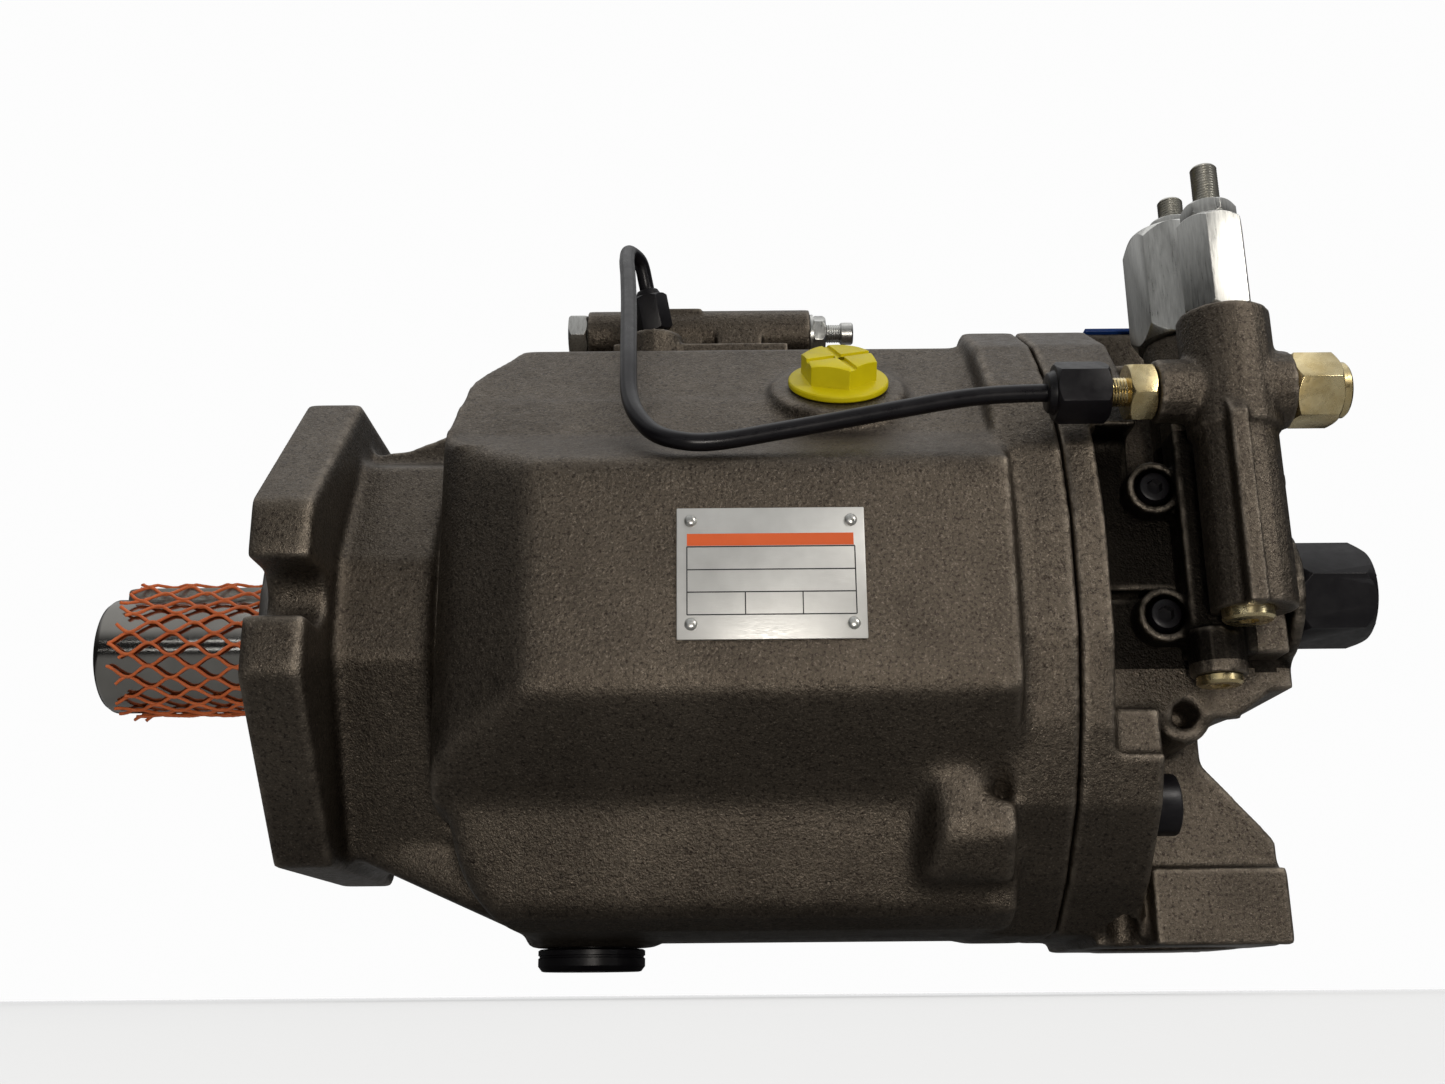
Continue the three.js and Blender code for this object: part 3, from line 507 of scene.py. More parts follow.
PRINT_ORANGE = plastic("print_orange", (0.78, 0.13, 0.03), (0.70, 0.11, 0.025), (0.35, 0.5), 1500)
PRINT_DARK = plastic("print_dark", (0.03, 0.03, 0.032), (0.02, 0.02, 0.022), (0.35, 0.5), 1500)
RUBBER = plastic("black_rubber", (0.012, 0.012, 0.012), (0.008, 0.008, 0.008), (0.5, 0.7))


# ----------------------------------------------------------- camera and stage

def make_camera():
    data = bpy.data.cameras.new("camera")
    data.sensor_width = SENSOR
    data.lens = LENS
    data.clip_start = 0.01
    data.clip_end = 50
    cam = new_object("camera", data)
    up = Vector((0, -math.sin(CAMERA_TILT), math.cos(CAMERA_TILT)))
    back = Vector((0, -math.cos(CAMERA_TILT), -math.sin(CAMERA_TILT)))
    cam.location = mm(158.4, 0, 0) + up * CAMERA_RISE + back * CAMERA_DISTANCE
    turn = Matrix((ALONG_X, up, back)).transposed()
    aim = Matrix.Rotation(math.radians(0.15), 3, "X") @ Matrix.Rotation(math.radians(-0.5), 3, "Z")
    cam.rotation_euler = (turn @ aim).to_euler()
    bpy.context.scene.camera = cam
    return cam


def area_light(name, energy, size, place, target, colour=(1, 1, 1), height=None):
    data = bpy.data.lights.new(name, "AREA")
    data.energy = energy
    data.shape = "RECTANGLE" if height else "DISK"
    data.size = size
    if height:
        data.size_y = height
    data.color = colour
    obj = new_object(name, data)
    obj.location = place
    obj.rotation_euler = (Vector(target) - Vector(place)).to_track_quat("-Z", "Y").to_euler()


def seamless_floor():
    """A pale floor round the pump that fades into the bright backdrop further out."""
    reach, z = 1.6, cad_low[2] - FLOOR_DROP
    corners = [(-reach, -reach, z), (reach, -reach, z), (reach, reach, z), (-reach, reach, z)]
    floor = from_lists("floor", corners, [(0, 1, 2, 3)])
    p = Paint("pale_floor")
    shade = p.ramp(p.noise(3, 3, 0.5), [(0.3, (0.84, 0.84, 0.84)), (0.7, (0.87, 0.87, 0.865))])
    away = p.tree.nodes.new("ShaderNodeVectorMath")
    away.operation = "LENGTH"
    p.link(p.where, away.inputs[0])
    fade = p.ramp(p.maths("MULTIPLY", away.outputs["Value"], 0.6), [(0.36, 0.4), (0.90, 0.0)])
    p.set(Base_Color=shade, Roughness=0.9, Alpha=fade)
    floor.data.materials.append(p.material)


def studio_world():
    """White where it is seen directly; softer and banded as a source of light."""
    world = bpy.data.worlds.new("studio")
    bpy.context.scene.world = world
    world.use_nodes = True
    tree = world.node_tree
    sky = tree.nodes["Background"]
    where = tree.nodes.new("ShaderNodeTexCoord")
    split = tree.nodes.new("ShaderNodeSeparateXYZ")
    band = tree.nodes.new("ShaderNodeValToRGB")
    path = tree.nodes.new("ShaderNodeLightPath")
    pick = tree.nodes.new("ShaderNodeMix")
    half = tree.nodes.new("ShaderNodeMapRange")
    pick.data_type = "RGBA"
    half.inputs["From Min"].default_value = -1
    stops = [(0.0, 0.02), (0.38, 0.03), (0.47, 0.015), (0.60, 0.02)]
    stops += [(0.68, 0.08), (0.80, 0.50), (1.0, 0.60)]
    elements = band.color_ramp.elements
    while len(elements) > 1:
        elements.remove(elements[-1])
    for i, (place, v) in enumerate(stops):
        e = elements[0] if i == 0 else elements.new(place)
        e.position = place
        e.color = (v, v, v, 1)
    link = tree.links.new
    link(where.outputs["Generated"], split.inputs["Vector"])
    link(split.outputs["Z"], half.inputs["Value"])
    link(half.outputs["Result"], band.inputs["Fac"])
    link(band.outputs["Color"], pick.inputs["A"])
    pick.inputs["B"].default_value = (1, 1, 1, 1)
    link(path.outputs["Is Camera Ray"], pick.inputs["Factor"])
    link(pick.outputs["Result"], sky.inputs["Color"])
    sky.inputs["Strength"].default_value = 0.98


def make_stage():
    seamless_floor()
    studio_world()
    bpy.context.scene.view_settings.view_transform = "Standard"
    area_light("flash", 2.6, 0.10, (0.20, -0.78, -0.19), (0.16, 0, -0.01), (1.0, 0.94, 0.86))
    area_light("key", 5.0, 0.35, (1.02, -0.98, 0.60), (0.16, -0.08, 0.0), (1.0, 0.95, 0.88), height=0.25)
    area_light("overhead", 4.0, 1.6, (0.16, 0.1, 1.5), (0.16, 0, 0), height=1.2)
    area_light("upper_strip", 0.35, 1.1, (-0.15, -0.95, 0.30), (0.0, 0, 0), height=0.03)
    area_light("lower_strip", 0.35, 1.1, (-0.15, -0.95, 0.02), (0.0, 0, 0), height=0.03)
    area_light("right_strip", 1.2, 0.10, (1.0, -0.7, 0.25), (0.3, 0, 0.05), height=0.7)
    for lamp in bpy.data.lights:
        bpy.data.objects[lamp.name].visible_camera = False


make_camera()
make_stage()


# ------------------------------------------------------------------ castings

def casting(name, node, voxel, rounds, material, soft=None):
    """The CAD shape melted and rounded as a casting is, with larger radii where the test soft says so."""
    obj = new_object(name, NODES[node].data.copy())
    remesh = obj.modifiers.new("melt", "REMESH")
    remesh.mode = "VOXEL"
    remesh.voxel_size = voxel * MM
    soften = obj.modifiers.new("soften", "SMOOTH")
    soften.factor = 0.5
    soften.iterations = rounds
    bake(obj)
    if soft:
        mesh = obj.data
        places = np.zeros(len(mesh.vertices) * 3, np.float32)
        mesh.vertices.foreach_get("co", places)
        group = obj.vertex_groups.new(name="soft")
        group.add(np.flatnonzero(soft(places.reshape(-1, 3) / MM)).tolist(), 1.0, "REPLACE")
        round_off = obj.modifiers.new("round_off", "SMOOTH")
        round_off.factor = 0.5
        round_off.iterations = 45
        round_off.vertex_group = "soft"
        bake(obj)
    return put(obj, node, material)


def facing(obj, material, test):
    """Gives a material, a machined finish or the painted shade, to the polygons that the test picks by
    centre and normal, in mm.
    """
    mesh = obj.data
    mesh.materials.append(material)
    index = len(mesh.materials) - 1
    count = len(mesh.polygons)
    centres = np.zeros(count * 3, np.float32)
    normals = np.zeros(count * 3, np.float32)
    mesh.polygons.foreach_get("center", centres)
    mesh.polygons.foreach_get("normal", normals)
    c = centres.reshape(-1, 3) / MM
    n = normals.reshape(-1, 3)
    picked = test(c, n)
    slots = np.zeros(count, np.int32)
    mesh.polygons.foreach_get("material_index", slots)
    slots[picked] = index
    mesh.polygons.foreach_set("material_index", slots)
    mesh.update()


def radius_from(c, y, z):
    return np.hypot(c[:, 1] - y, c[:, 2] - z)


def housing():
    def chambers(c):
        return (c[:, 0] > 64) & (c[:, 0] < 246) & (abs(c[:, 1]) > 60) & (c[:, 2] > -106) & (c[:, 2] < 50)

    obj = casting("pump_housing", "housing", 1.7, 12, IRON, chambers)
    facing(obj, FACED, lambda c, n: (n[:, 0] < -0.9) & (c[:, 0] < 1.2))
    facing(obj, FACED, lambda c, n: (c[:, 0] < 0.2) & (radius_from(c, 0, 0) > 30))
    smooth(obj, 180)


def port_plate():
    obj = casting("rear_port_plate", "port_plate", 1.5, 7, IRON)
    facing(obj, FACED, lambda c, n: (n[:, 2] < -0.9) & (c[:, 2] < -114.5))
    facing(obj, FACED, lambda c, n: (n[:, 2] > 0.9) & (c[:, 2] > 118.5))

    # the port plate's recess beside the valve is painted dark as shade
    def recess(c, n):
        level = (c[:, 2] > RECESS_LOW) & (c[:, 2] < RECESS_HIGH)
        return level & (c[:, 0] > 287.5) & (abs(c[:, 1] + 90) < 20)

    facing(obj, IRON_PAINTED_SHADE, recess)
    smooth(obj, 180)


def control_valve():
    obj = casting("control_valve_casting", "control_valve_body", 0.9, 6, IRON_VALVE)

    # the valve body's lower left, in the recess, is painted dark as shade
    def shaded(c, n):
        level = (c[:, 2] > RECESS_LOW) & (c[:, 2] < 54)
        return level & (c[:, 1] > -108) & (c[:, 0] < 335)

    facing(obj, IRON_PAINTED_SHADE, shaded)
    smooth(obj, 180)


def power_valve():
    obj = casting("power_valve_casting", "power_valve_body", 1.0, 5, IRON_VALVE)
    smooth(obj, 180)


housing()
port_plate()
control_valve()
power_valve()


# ---------------------------------------------------------- shaft, key and net

def span(node):
    low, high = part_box(node)
    return low / MM, high / MM


def middle(node):
    low, high = span(node)
    return (low + high) / 2


def hull_radius(angle, margin):
    """Distance from the shaft axis to a band stretched over the shaft and its key."""
    key_y, key_z = KEY_HALF_WIDTH, KEY_TOP
    best = SHAFT_RADIUS
    for y in (-key_y, key_y):
        reach = math.hypot(y, key_z)
        at = math.atan2(key_z, y)
        open_angle = math.acos(SHAFT_RADIUS / reach)
        off = abs((angle - at + math.pi) % (2 * math.pi) - math.pi)
        if off < open_angle:
            best = max(best, SHAFT_RADIUS / math.cos(open_angle - off))
    if abs(math.cos(angle)) * key_z < key_y * math.sin(angle):
        best = max(best, key_z / math.sin(angle))
    return best + margin


def shaft():
    low, high = span("drive_shaft")
    end = low[0]
    profile = [(0, end), (20.3, end), (20.9, end + 0.3), (22.3, end + 2.2), (SHAFT_RADIUS, end + 2.8)]
    profile += [(SHAFT_RADIUS, 61), (21.5, 62), (21.5, 168), (20, 170), (20, 262), (17.5, 264)]
    profile += [(17.5, high[0]), (0, high[0])]
    body = lathe("keyed_shaft", profile, mm(0, 0, 0), ALONG_X, 128)
    key_low, key_high = span("shaft_key")
    x0, x1 = key_low[0] + 6.6, key_high[0] - 6.6
    boolean(body, block("slot", (x0, -7.0, 17.0), (x1, 7.0, 40)), "DIFFERENCE")
    for x in (x0, x1):
        boolean(body, rod("end", 7.0, mm(x, 0, 17.0), mm(x, 0, 40), 40), "DIFFERENCE")
    hole = [(0, -1), (6.6, -1), (6.2, 0.4), (4.2, 4), (4.1, 16), (0, 18)]
    boolean(body, lathe("centre", hole, mm(end, 0, 0), ALONG_X, 40), "DIFFERENCE")
    smooth(body, 30)
    put(body, "drive_shaft", GROUND)


def key():
    low, high = span("shaft_key")
    half = KEY_HALF_WIDTH
    outline = []
    for k in range(17):
        a = math.pi / 2 + math.pi * k / 16
        outline.append((low[0] + half + half * math.cos(a), half * math.sin(a)))
    for k in range(17):
        a = -math.pi / 2 + math.pi * k / 16
        outline.append((high[0] - half + half * math.cos(a), half * math.sin(a)))
    count = len(outline)
    verts = [mm(x, y, z) for z in (low[2], high[2]) for x, y in outline]
    faces = [tuple(range(count)), tuple(count + k for k in range(count))]
    faces += [(k, (k + 1) % count, count + (k + 1) % count, count + k) for k in range(count)]
    obj = fix_normals(from_lists("shaft_key_bar", verts, faces))
    bevel(obj, 0.5, 2, 40)
    smooth(obj, 30)
    put(obj, "shaft_key", SCREW)


def strand_points(k, hand, around, pitch, x0, start, end, rng):
    """One strand of the net: it swings between its two neighbours and touches them in turn."""
    step = 2 * math.pi / around
    flare = rng.uniform(0.2, 2.6) if rng.uniform() < 0.45 else 0.2
    points = []
    x = start
    while x <= end:
        t = (x - x0) / pitch
        swing = 0.25 * (1 - math.cos(math.pi * t)) * hand
        sway = 0.06 * math.sin(0.07 * x + 0.4 * k)
        angle = (step * (k + swing + sway) + 0.2) % (2 * math.pi)
        loose = flare * max(0.0, 1 - (x - start) / 6.0) ** 2
        r = hull_radius(angle, 1.0 + 0.22 * hand + loose)
        points.append(mm(x, r * math.cos(angle), r * math.sin(angle)))
        x += pitch / 9
    return points


def net():
    """An open net of crossing strands, stretched over the shaft and key."""
    low, high = span("net_sleeve")
    around, pitch = 17, 8.2
    x0, x1 = low[0], high[0]
    rng = np.random.default_rng(7)
    curve = bpy.data.curves.new("net_strands", "CURVE")
    curve.dimensions = "3D"
    curve.bevel_depth = 0.66 * MM
    curve.bevel_resolution = 2
    curve.use_fill_caps = True
    for hand in (-1, 1):
        for k in range(around):
            start = x0 + rng.uniform(-1.0, 7.0)
            end = x1 - rng.uniform(0, 1.5)
            points = strand_points(k, hand, around, pitch, x0, start, end, rng)
            spline = curve.splines.new("POLY")
            spline.points.add(len(points) - 1)
            for point, place in zip(spline.points, points):
                point.co = (*place, 1)
                point.radius = rng.uniform(0.86, 1.12)
    obj = new_object("net_strands_curve", curve)
    bpy.context.view_layer.update()
    mesh = bpy.data.meshes.new_from_object(obj.evaluated_get(bpy.context.evaluated_depsgraph_get()))
    delete(obj)
    sleeve = new_object("net_strands", mesh)
    smooth(sleeve, 60)
    put(sleeve, "net_sleeve", ORANGE)


# ---------------------------------------------------------------- nameplate

def plate_line(name, low, high, y):
    return block(name, (low[0], y - 0.07, low[1]), (high[0], y + 0.2, high[1]))


def nameplate():
    low, high = span("nameplate")
    y = low[1]
    base = block("nameplate_base", low, high)
    bevel(base, 0.35, 2, 40)
    smooth(base, 30)
    put(base, "nameplate", PLATE)
    wide, tall = high[0] - low[0], high[2] - low[2]

    def at(u, v):
        return low[0] + wide * u, high[2] - tall * v

    def strip(name, u0, v0, u1, v1):
        (xa, za), (xb, zb) = at(u0, v0), at(u1, v1)
        return plate_line(name, (min(xa, xb), min(za, zb)), (max(xa, xb), max(za, zb)), y)

    band = strip("nameplate_band", 0.055, 0.20, 0.94, 0.292)
    extra(band, "pump_body", PRINT_ORANGE)
    thin_u, thin_v = 0.0062, 0.0090
    left, right = 0.055, 0.945
    lines = []
    for v in (0.30, 0.475, 0.645, 0.815):
        lines.append(strip("rule", left, v - thin_v / 2, right, v + thin_v / 2))
    for u, top in ((left, 0.30), (right, 0.30), (0.362, 0.645), (0.665, 0.645)):
        lines.append(strip("rule", u - thin_u / 2, top, u + thin_u / 2, 0.815))
    extra(join("nameplate_rules", lines), "pump_body", PRINT_DARK)
    rivets = []
    for u in (0.075, 0.928):
        for v in (0.10, 0.885):
            x, z = at(u, v)
            dome = [(0, -1.2), (1.2, -1.2), (1.2, 0), (2.1, 0)]
            dome += [(2.05, 0.35), (1.7, 0.8), (1.1, 1.1), (0, 1.22)]
            rivets.append(lathe("rivet", dome, mm(x, y + 0.02, z), NEAR, 28))
    extra(smooth(join("nameplate_rivets", rivets), 40), "pump_body", ZINC)


# --------------------------------------------------------- caps, plugs, nuts

CAP_ANGLE = math.radians(46.5)
CAP_DIRECTION = Vector((0, -math.cos(CAP_ANGLE), math.sin(CAP_ANGLE)))


def cap_axis(radius):
    return mm(middle("drain_port_cap")[0], 0, 0) + CAP_DIRECTION * radius * MM


def drain_cap():
    base = cap_axis(112.3)
    d = CAP_DIRECTION
    rim = [(0, -14), (12.5, -14), (12.5, 0), (17.8, 0), (18.2, 0.5), (18.2, 1.9)]
    rim += [(17.8, 2.5), (16.4, 2.9), (13.5, 3.4), (0, 3.4)]
    flange = lathe("cap_rim", rim, base, d, 96)
    top = hexagon("cap_hex", 24.4, cap_axis(113.4), cap_axis(123.6), math.radians(12), 0.45, 0)
    boolean(flange, top, "UNION")
    side = d.cross(ALONG_X)
    for angle in (20, 110):
        a = math.radians(angle)
        along = ALONG_X * math.cos(a) + side * math.sin(a)
        cross = d.cross(along)
        centre = cap_axis(123.9)
        tool = block("groove", (-20, -1.3, -1.4), (20, 1.3, 1.5))
        frame_matrix = Matrix((along, cross, d)).transposed().to_4x4()
        tool.data.transform(Matrix.Translation(centre) @ frame_matrix)
        boolean(flange, tool, "DIFFERENCE")
    bevel(flange, 0.8, 3, 28)
    smooth(flange, 35)
    put(flange, "drain_port_cap", YELLOW)


def spring_cap(node, flats, roll, chamfer):
    low, high = span(node)
    x, y, _ = middle(node)
    seat = low[2] + 14.3
    turned = math.radians(roll - 90)
    bar = hexagon(node + "_hex", flats, mm(x, y, seat), mm(x, y, high[2]), turned, chamfer, 0)
    boolean(bar, rod("bore", 5.2, mm(x, y, high[2] - 12), mm(x, y, high[2] + 3), 40), "DIFFERENCE")
    stub = thread(node + "_thread", 8.7, 1.5, 0.45, mm(x, y, seat - 13.5), mm(x, y, seat + 0.6), 36)
    bevel(bar, 0.28, 2, 35)
    smooth(bar, 30)
    put(join(node + "_piece", [bar, stub]), node, ZINC)


def lock_nut(node, roll):
    low, high = span(node)
    x, y, _ = middle(node)
    nut = hexagon(node + "_hex", 16.5, mm(x, y, low[2]), mm(x, y, high[2]), math.radians(roll - 90), 1.0, 0)
    boolean(nut, rod("bore", 5.15, mm(x, y, low[2] - 2), mm(x, y, high[2] + 2), 40), "DIFFERENCE")
    bevel(nut, 0.22, 2, 35)
    smooth(nut, 30)
    put(nut, node, ZINC)


def adjust_screw(node):
    low, high = span(node)
    x, y, _ = middle(node)
    screw = thread(node + "_thread", 4.65, 1.0, 0.55, mm(x, y, low[2]), mm(x, y, high[2]), 40)
    boolean(screw, rod("socket", 2.7, mm(x, y, high[2] - 4), mm(x, y, high[2] + 2), 6), "DIFFERENCE")
    smooth(screw, 45)
    put(screw, node, SCREW)


def brass_plug():
    low, _ = span("brass_plug")
    _, y, z = middle("brass_plug")
    x0 = low[0] + 7.4
    bar = hexagon("plug_hex", 22.5, mm(x0 + 0.3, y, z), mm(x0 + 15.8, y, z), math.radians(30), 0.8, 0.3)
    end = [(0, -1), (9.5, -1), (9.5, 2.9), (8.9, 3.55), (6.5, 3.7), (6.2, 3.2), (0, 3.2)]
    nose = lathe("plug_nose", end, mm(x0 + 15.8, y, z), ALONG_X, 64)
    stub = thread("plug_thread", 8.55, 1.5, 0.45, mm(low[0], y, z), mm(x0 + 0.8, y, z), 36)
    smooth(nose, 35)
    put(join("brass_plug_piece", [bar, nose, stub]), "brass_plug", BRASS)


def brass_fitting():
    low, high = span("brass_fitting")
    _, y, z = middle("brass_fitting")
    bar = hexagon("fitting_hex", 18.5, mm(295.1, y, z), mm(304.1, y, z), math.radians(52), 0.9, 0.25)
    stem = thread("fitting_thread", 5.0, 1.0, 0.4, mm(low[0], y, z), mm(high[0], y, z), 36)
    put(join("brass_fitting_piece", [bar, stem]), "brass_fitting", BRASS)


def round_plug(node, radius):
    """A pressed-in brass plug facing down, with a turned face and a hexagonal socket."""
    low, high = span(node)
    x, y, _ = middle(node)
    depth = high[2] - low[2]
    profile = [(0, 0), (radius, 0), (radius, depth - 0.9), (radius - 0.9, depth), (0, depth)]
    disc = lathe(node + "_disc", profile, mm(x, y, high[2]), DOWN, 48)
    socket = rod("socket", 3.4, mm(x, y, low[2] - 1), mm(x, y, low[2] + 2.2), 6)
    boolean(disc, socket, "DIFFERENCE")
    smooth(disc, 30)
    put(disc, node, BRASS)


def stop_cap():
    low, high = span("stop_screw_cap")
    _, y, z = middle("stop_screw_cap")
    bar = hexagon("stop_hex", 32, mm(352.3, y, z), mm(high[0], y, z), math.radians(20), 1.9, 0.4)
    collar = rod("stop_collar", 13.7, mm(low[0], y, z), mm(353, y, z), 64)
    smooth(collar, 30)
    put(join("stop_cap_piece", [bar, collar]), "stop_screw_cap", BLACK)


def tube_nut(node, flats, end, away, length, roll):
    d = (end - away).normalized()

    def at(distance):
        return end + d * distance * MM

    nut = hexagon(node + "_hex", flats, at(-length), at(0), math.radians(roll), 1.0, 0)
    boolean(nut, rod("bore", 5.35, at(-3.5), at(2), 40), "DIFFERENCE")
    bevel(nut, 0.35, 2, 35)
    wide, inner = flats * 0.41, TUBE_RADIUS + 0.15
    collar = [(inner, -2.5), (wide - 1.8, -2.5), (wide - 1.2, -2.2), (wide, 0.2)]
    collar += [(wide, 2), (inner, 2), (inner, -2.5)]
    sleeve = lathe(node + "_collar", collar, at(-length), d, 56)
    smooth(nut, 30)
    smooth(sleeve, 35)
    put(join(node + "_piece", [nut, sleeve]), node, BLACK)


def tube_nuts():
    y, z = FRONT_NUT_Y, FRONT_NUT_Z
    _, high = span("tube_nut_front")
    tube_nut("tube_nut_front", 19, mm(high[0], y, z), mm(270, y, z), 18, 6)
    tube_nut("tube_nut_rear", 13.4, mm(131, -7, 136), mm(127.3, -13, 154.4), 15, 6)


# the pilot tube's route in mm, from the front nut over the body to the rear nut
TUBE = [(279, -112, 63.5), (266, -112, 63.5), (245, -112, 62.4), (217, -112.5, 57.6)]
TUBE += [(180, -114, 50.2), (154.5, -116, 45.4), (145.5, -116, 45.8), (136.5, -112.5, 49.8)]
TUBE += [(130, -106, 58.6), (126.5, -98, 69.5), (125.2, -86, 88.3), (124.2, -72, 106.6)]
TUBE += [(123, -56, 126.6), (121.6, -42, 144.4), (120.5, -32, 156.2), (121.1, -24, 163.6)]
TUBE += [(125, -18, 162.5), (127.3, -13, 154.4), (128.05, -11.8, 150.7)]


def centripetal(points, steps):
    """Points along a smooth curve through the given ones, spaced by the roots of the distances."""
    p = [np.array(v, float) for v in points]
    p = [2 * p[0] - p[1], *p, 2 * p[-1] - p[-2]]
    out = []
    for i in range(1, len(p) - 2):
        a, b, c, d = p[i - 1:i + 3]
        t0 = 0.0
        t1 = t0 + np.linalg.norm(b - a) ** 0.5
        t2 = t1 + np.linalg.norm(c - b) ** 0.5
        t3 = t2 + np.linalg.norm(d - c) ** 0.5
        for k in range(steps):
            t = t1 + (t2 - t1) * k / steps
            a1 = (t1 - t) / (t1 - t0) * a + (t - t0) / (t1 - t0) * b
            a2 = (t2 - t) / (t2 - t1) * b + (t - t1) / (t2 - t1) * c
            a3 = (t3 - t) / (t3 - t2) * c + (t - t2) / (t3 - t2) * d
            b1 = (t2 - t) / (t2 - t0) * a1 + (t - t0) / (t2 - t0) * a2
            b2 = (t3 - t) / (t3 - t1) * a2 + (t - t1) / (t3 - t1) * a3
            out.append((t2 - t) / (t2 - t1) * b1 + (t - t1) / (t2 - t1) * b2)
    out.append(p[-2])
    return out


def pilot_tube():
    path = [Vector(v) * MM for v in centripetal(TUBE, 10)]
    sides, radius = 24, TUBE_RADIUS * MM
    across = frame_of(path[1] - path[0])[0]
    verts, faces = [], []
    for i, place in enumerate(path):
        ahead = (path[min(i + 1, len(path) - 1)] - path[max(i - 1, 0)]).normalized()
        across = (across - ahead * across.dot(ahead)).normalized()
        other = ahead.cross(across)
        for k in range(sides):
            a = 2 * math.pi * k / sides
            verts.append(place + (across * math.cos(a) + other * math.sin(a)) * radius)
    for i in range(len(path) - 1):
        for k in range(sides):
            n = (k + 1) % sides
            faces.append((i * sides + k, i * sides + n, (i + 1) * sides + n, (i + 1) * sides + k))
    last = (len(path) - 1) * sides
    faces.append(tuple(reversed(range(sides))))
    faces.append(tuple(last + k for k in range(sides)))
    tube = fix_normals(from_lists("pilot_tube_pipe", verts, faces))
    smooth(tube, 50)
    put(tube, "pilot_tube", TUBE_BLACK)


def socket_screw(node, head, tall, shank, key_radius, direction):
    """A socket head screw. Its head is at the far end along direction."""
    low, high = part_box(node)
    mid = (low + high) / 2
    reach = abs((high - low).dot(direction))
    start = mid - direction * reach / 2
    top = reach / MM
    seat = top - tall
    profile = [(0, 0), (shank, 0), (shank, seat), (head - 0.3, seat), (head, seat + 0.3), (head, top - 0.9)]
    profile += [(head - 0.3, top - 0.3), (head - 1.0, top), (0, top)]
    body = lathe(node + "_screw", profile, start, direction, 60)
    floor = start + direction * (top - tall * 0.55) * MM
    socket = rod("socket", key_radius, floor, start + direction * (top + 2) * MM, 6)
    boolean(body, socket, "DIFFERENCE")
    smooth(body, 30)
    put(body, node, BLACK)


def drain_plug():
    low, high = span("drain_plug")
    x, y, _ = middle("drain_plug")
    base = mm(x, y, high[2])
    full = high[2] - low[2]
    profile = [(0, 0), (12.5, 0), (12.5, 12), (19.2, 12.2), (20, 12.7), (20, 14.4)]
    profile += [(19.5, 14.7), (19.5, 15.2), (20, 15.5), (20, full - 2)]
    profile += [(18.6, full - 0.2), (17.8, full), (0, full)]
    body = lathe("drain_plug_piece", profile, base, DOWN, 96)
    boolean(body, rod("socket", 7.4, mm(x, y, low[2] - 1), mm(x, y, low[2] + 8), 6), "DIFFERENCE")
    smooth(body, 30)
    put(body, "drain_plug", BLACK)


def port_cover():
    low, high = span("pressure_port_cover")
    sheet = block("port_cover_sheet", low, high)
    ribs = []
    for y in (-30, -10, 10, 30):
        rib_low = (low[0] + 3, y - 0.8, high[2] - 0.4)
        rib_high = (high[0] - 3, y + 0.8, high[2] + 0.7)
        ribs.append(block("rib", rib_low, rib_high))
    grip = [(0, -0.5), (9, -0.5), (9, 1.2), (8.2, 1.9), (0, 1.9)]
    ribs.append(lathe("grip", grip, mm((low[0] + high[0]) / 2, 0, high[2]), UP, 48))
    for rib in ribs:
        boolean(sheet, rib, "UNION")
    bevel(sheet, 0.35, 2, 35)
    smooth(sheet, 30)
    put(sheet, "pressure_port_cover", BLUE)


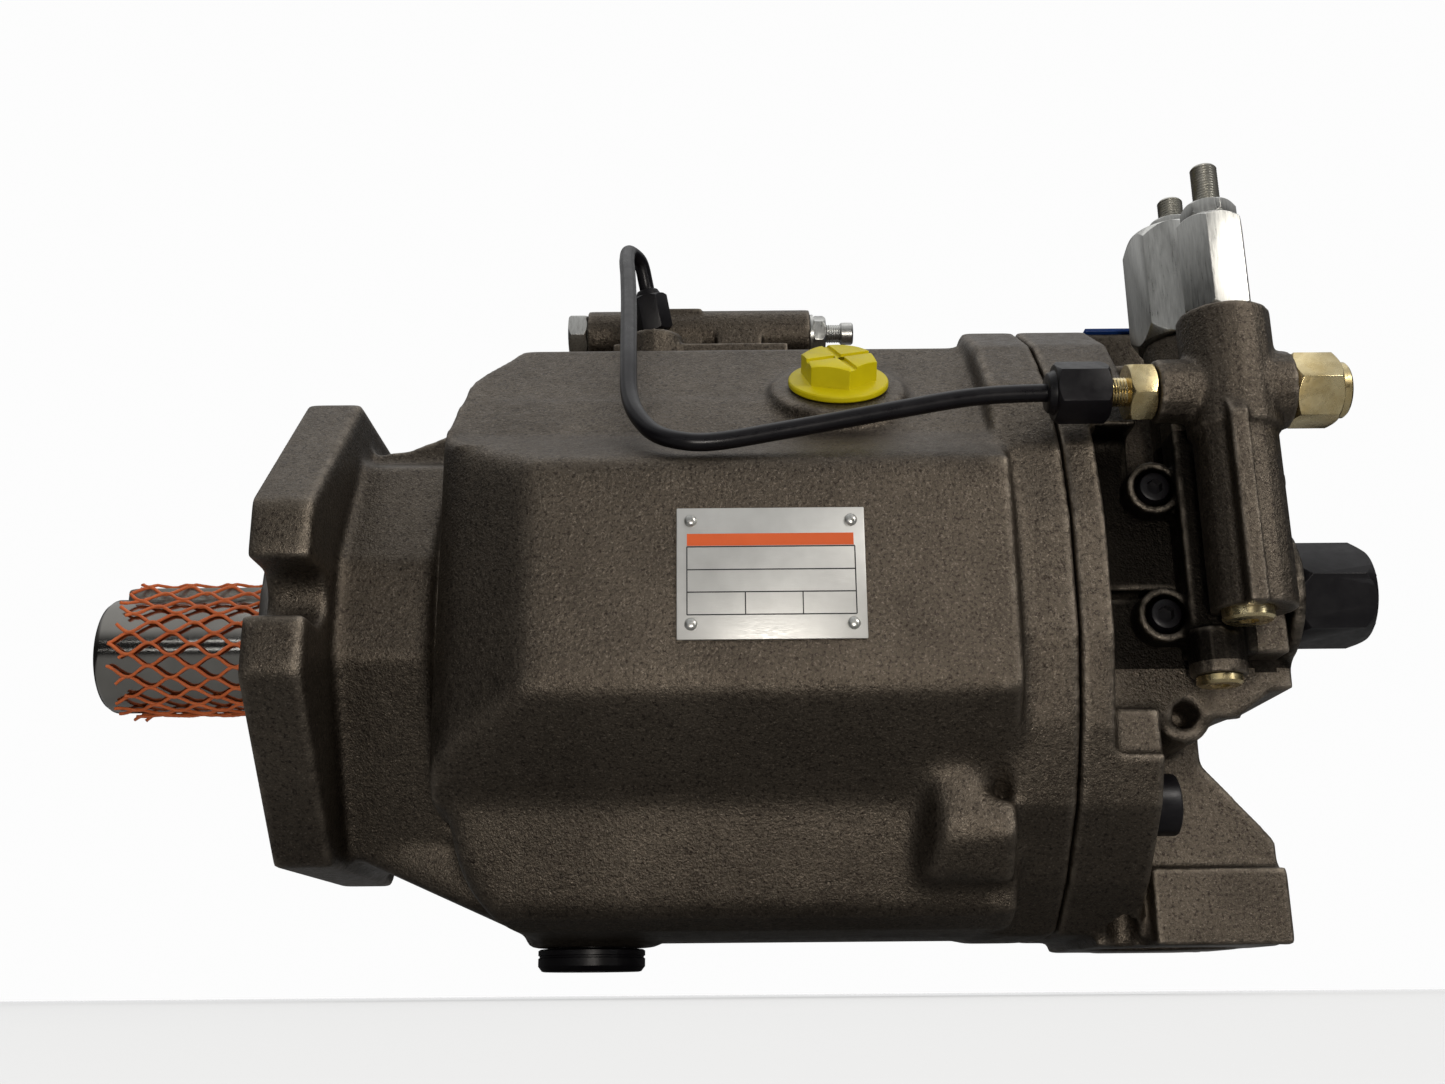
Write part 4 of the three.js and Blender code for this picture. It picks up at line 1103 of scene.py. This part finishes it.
def power_valve_parts():
    low, high = span("power_valve_plug")
    _, y, z = middle("power_valve_plug")
    bar = hexagon("power_plug_hex", 17, mm(100.7, y, z), mm(low[0], y, z), math.radians(10), 1.1, 0.25)
    stub = thread("power_plug_thread", 6.7, 1.2, 0.4, mm(high[0], y, z), mm(100.2, y, z), 32)
    put(join("power_plug_piece", [bar, stub]), "power_valve_plug", ZINC)
    low, high = span("power_lock_nut")
    nut = hexagon("power_nut_hex", 14, mm(low[0] + 1, y, z), mm(high[0], y, z), math.radians(12), 1.1, 0)
    boolean(nut, rod("bore", 4.3, mm(low[0] - 4, y, z), mm(high[0] + 4, y, z), 36), "DIFFERENCE")
    bevel(nut, 0.2, 2, 35)
    washer = [(4.3, 0), (8.4, 0), (8.4, 1.2), (4.3, 1.2), (4.3, 0)]
    collar = lathe("power_nut_washer", washer, mm(low[0], y, z), ALONG_X, 48)
    smooth(nut, 30)
    smooth(collar, 30)
    put(join("power_nut_piece", [nut, collar]), "power_lock_nut", ZINC)
    low, high = span("power_adjust_screw")
    screw = thread("power_screw_thread", 3.95, 1.0, 0.34, mm(low[0], y, z), mm(high[0] - 4.5, y, z), 36)
    tip = [(0, -1), (4.2, -1), (4.8, -0.4), (4.8, 4), (4.2, 4.6), (0, 4.6)]
    head = lathe("power_screw_end", tip, mm(high[0] - 4.6, y, z), ALONG_X, 40)
    boolean(head, rod("socket", 2.6, mm(high[0] - 3, y, z), mm(high[0] + 1, y, z), 6), "DIFFERENCE")
    smooth(head, 30)
    put(join("power_screw_piece", [screw, head]), "power_adjust_screw", ZINC)


def inner_parts():
    """The working parts inside keep their CAD shape and take a machined finish."""
    finish = {
        "shaft_seal": RUBBER,
        "front_bearing": STEEL,
        "valve_plate": BRONZE,
        "cylinder_block": STEEL,
        "swashplate": STEEL,
        "retainer_plate": STEEL,
        "stroking_piston": GROUND,
        "bias_piston": GROUND,
    }
    for k in range(1, 10):
        finish["slipper_%d" % k] = BRONZE
        finish["piston_%d" % k] = GROUND
    for node, material in finish.items():
        for slot in NODES[node].material_slots:
            slot.material = material


shaft()
key()
net()
nameplate()
drain_cap()
spring_cap("pressure_spring_cap", 21, -23, 1.2)
spring_cap("flow_spring_cap", 33, 8, 1.9)
lock_nut("pressure_lock_nut", 8)
lock_nut("flow_lock_nut", 8)
adjust_screw("pressure_adjust_screw")
adjust_screw("flow_adjust_screw")
brass_plug()
brass_fitting()
round_plug("lower_plug_near", 8.4)
round_plug("lower_plug_far", 7.5)
stop_cap()
tube_nuts()
pilot_tube()
for screw_node in ("valve_screw_upper", "valve_screw_lower"):
    socket_screw(screw_node, 5.2, 6.8, 4.0, 2.9, NEAR)
for bolt_index in range(1, 5):
    socket_screw("case_bolt_%d" % bolt_index, 10.5, 12.2, 6.6, 6.2, ALONG_X)
drain_plug()
port_cover()
power_valve_parts()
inner_parts()
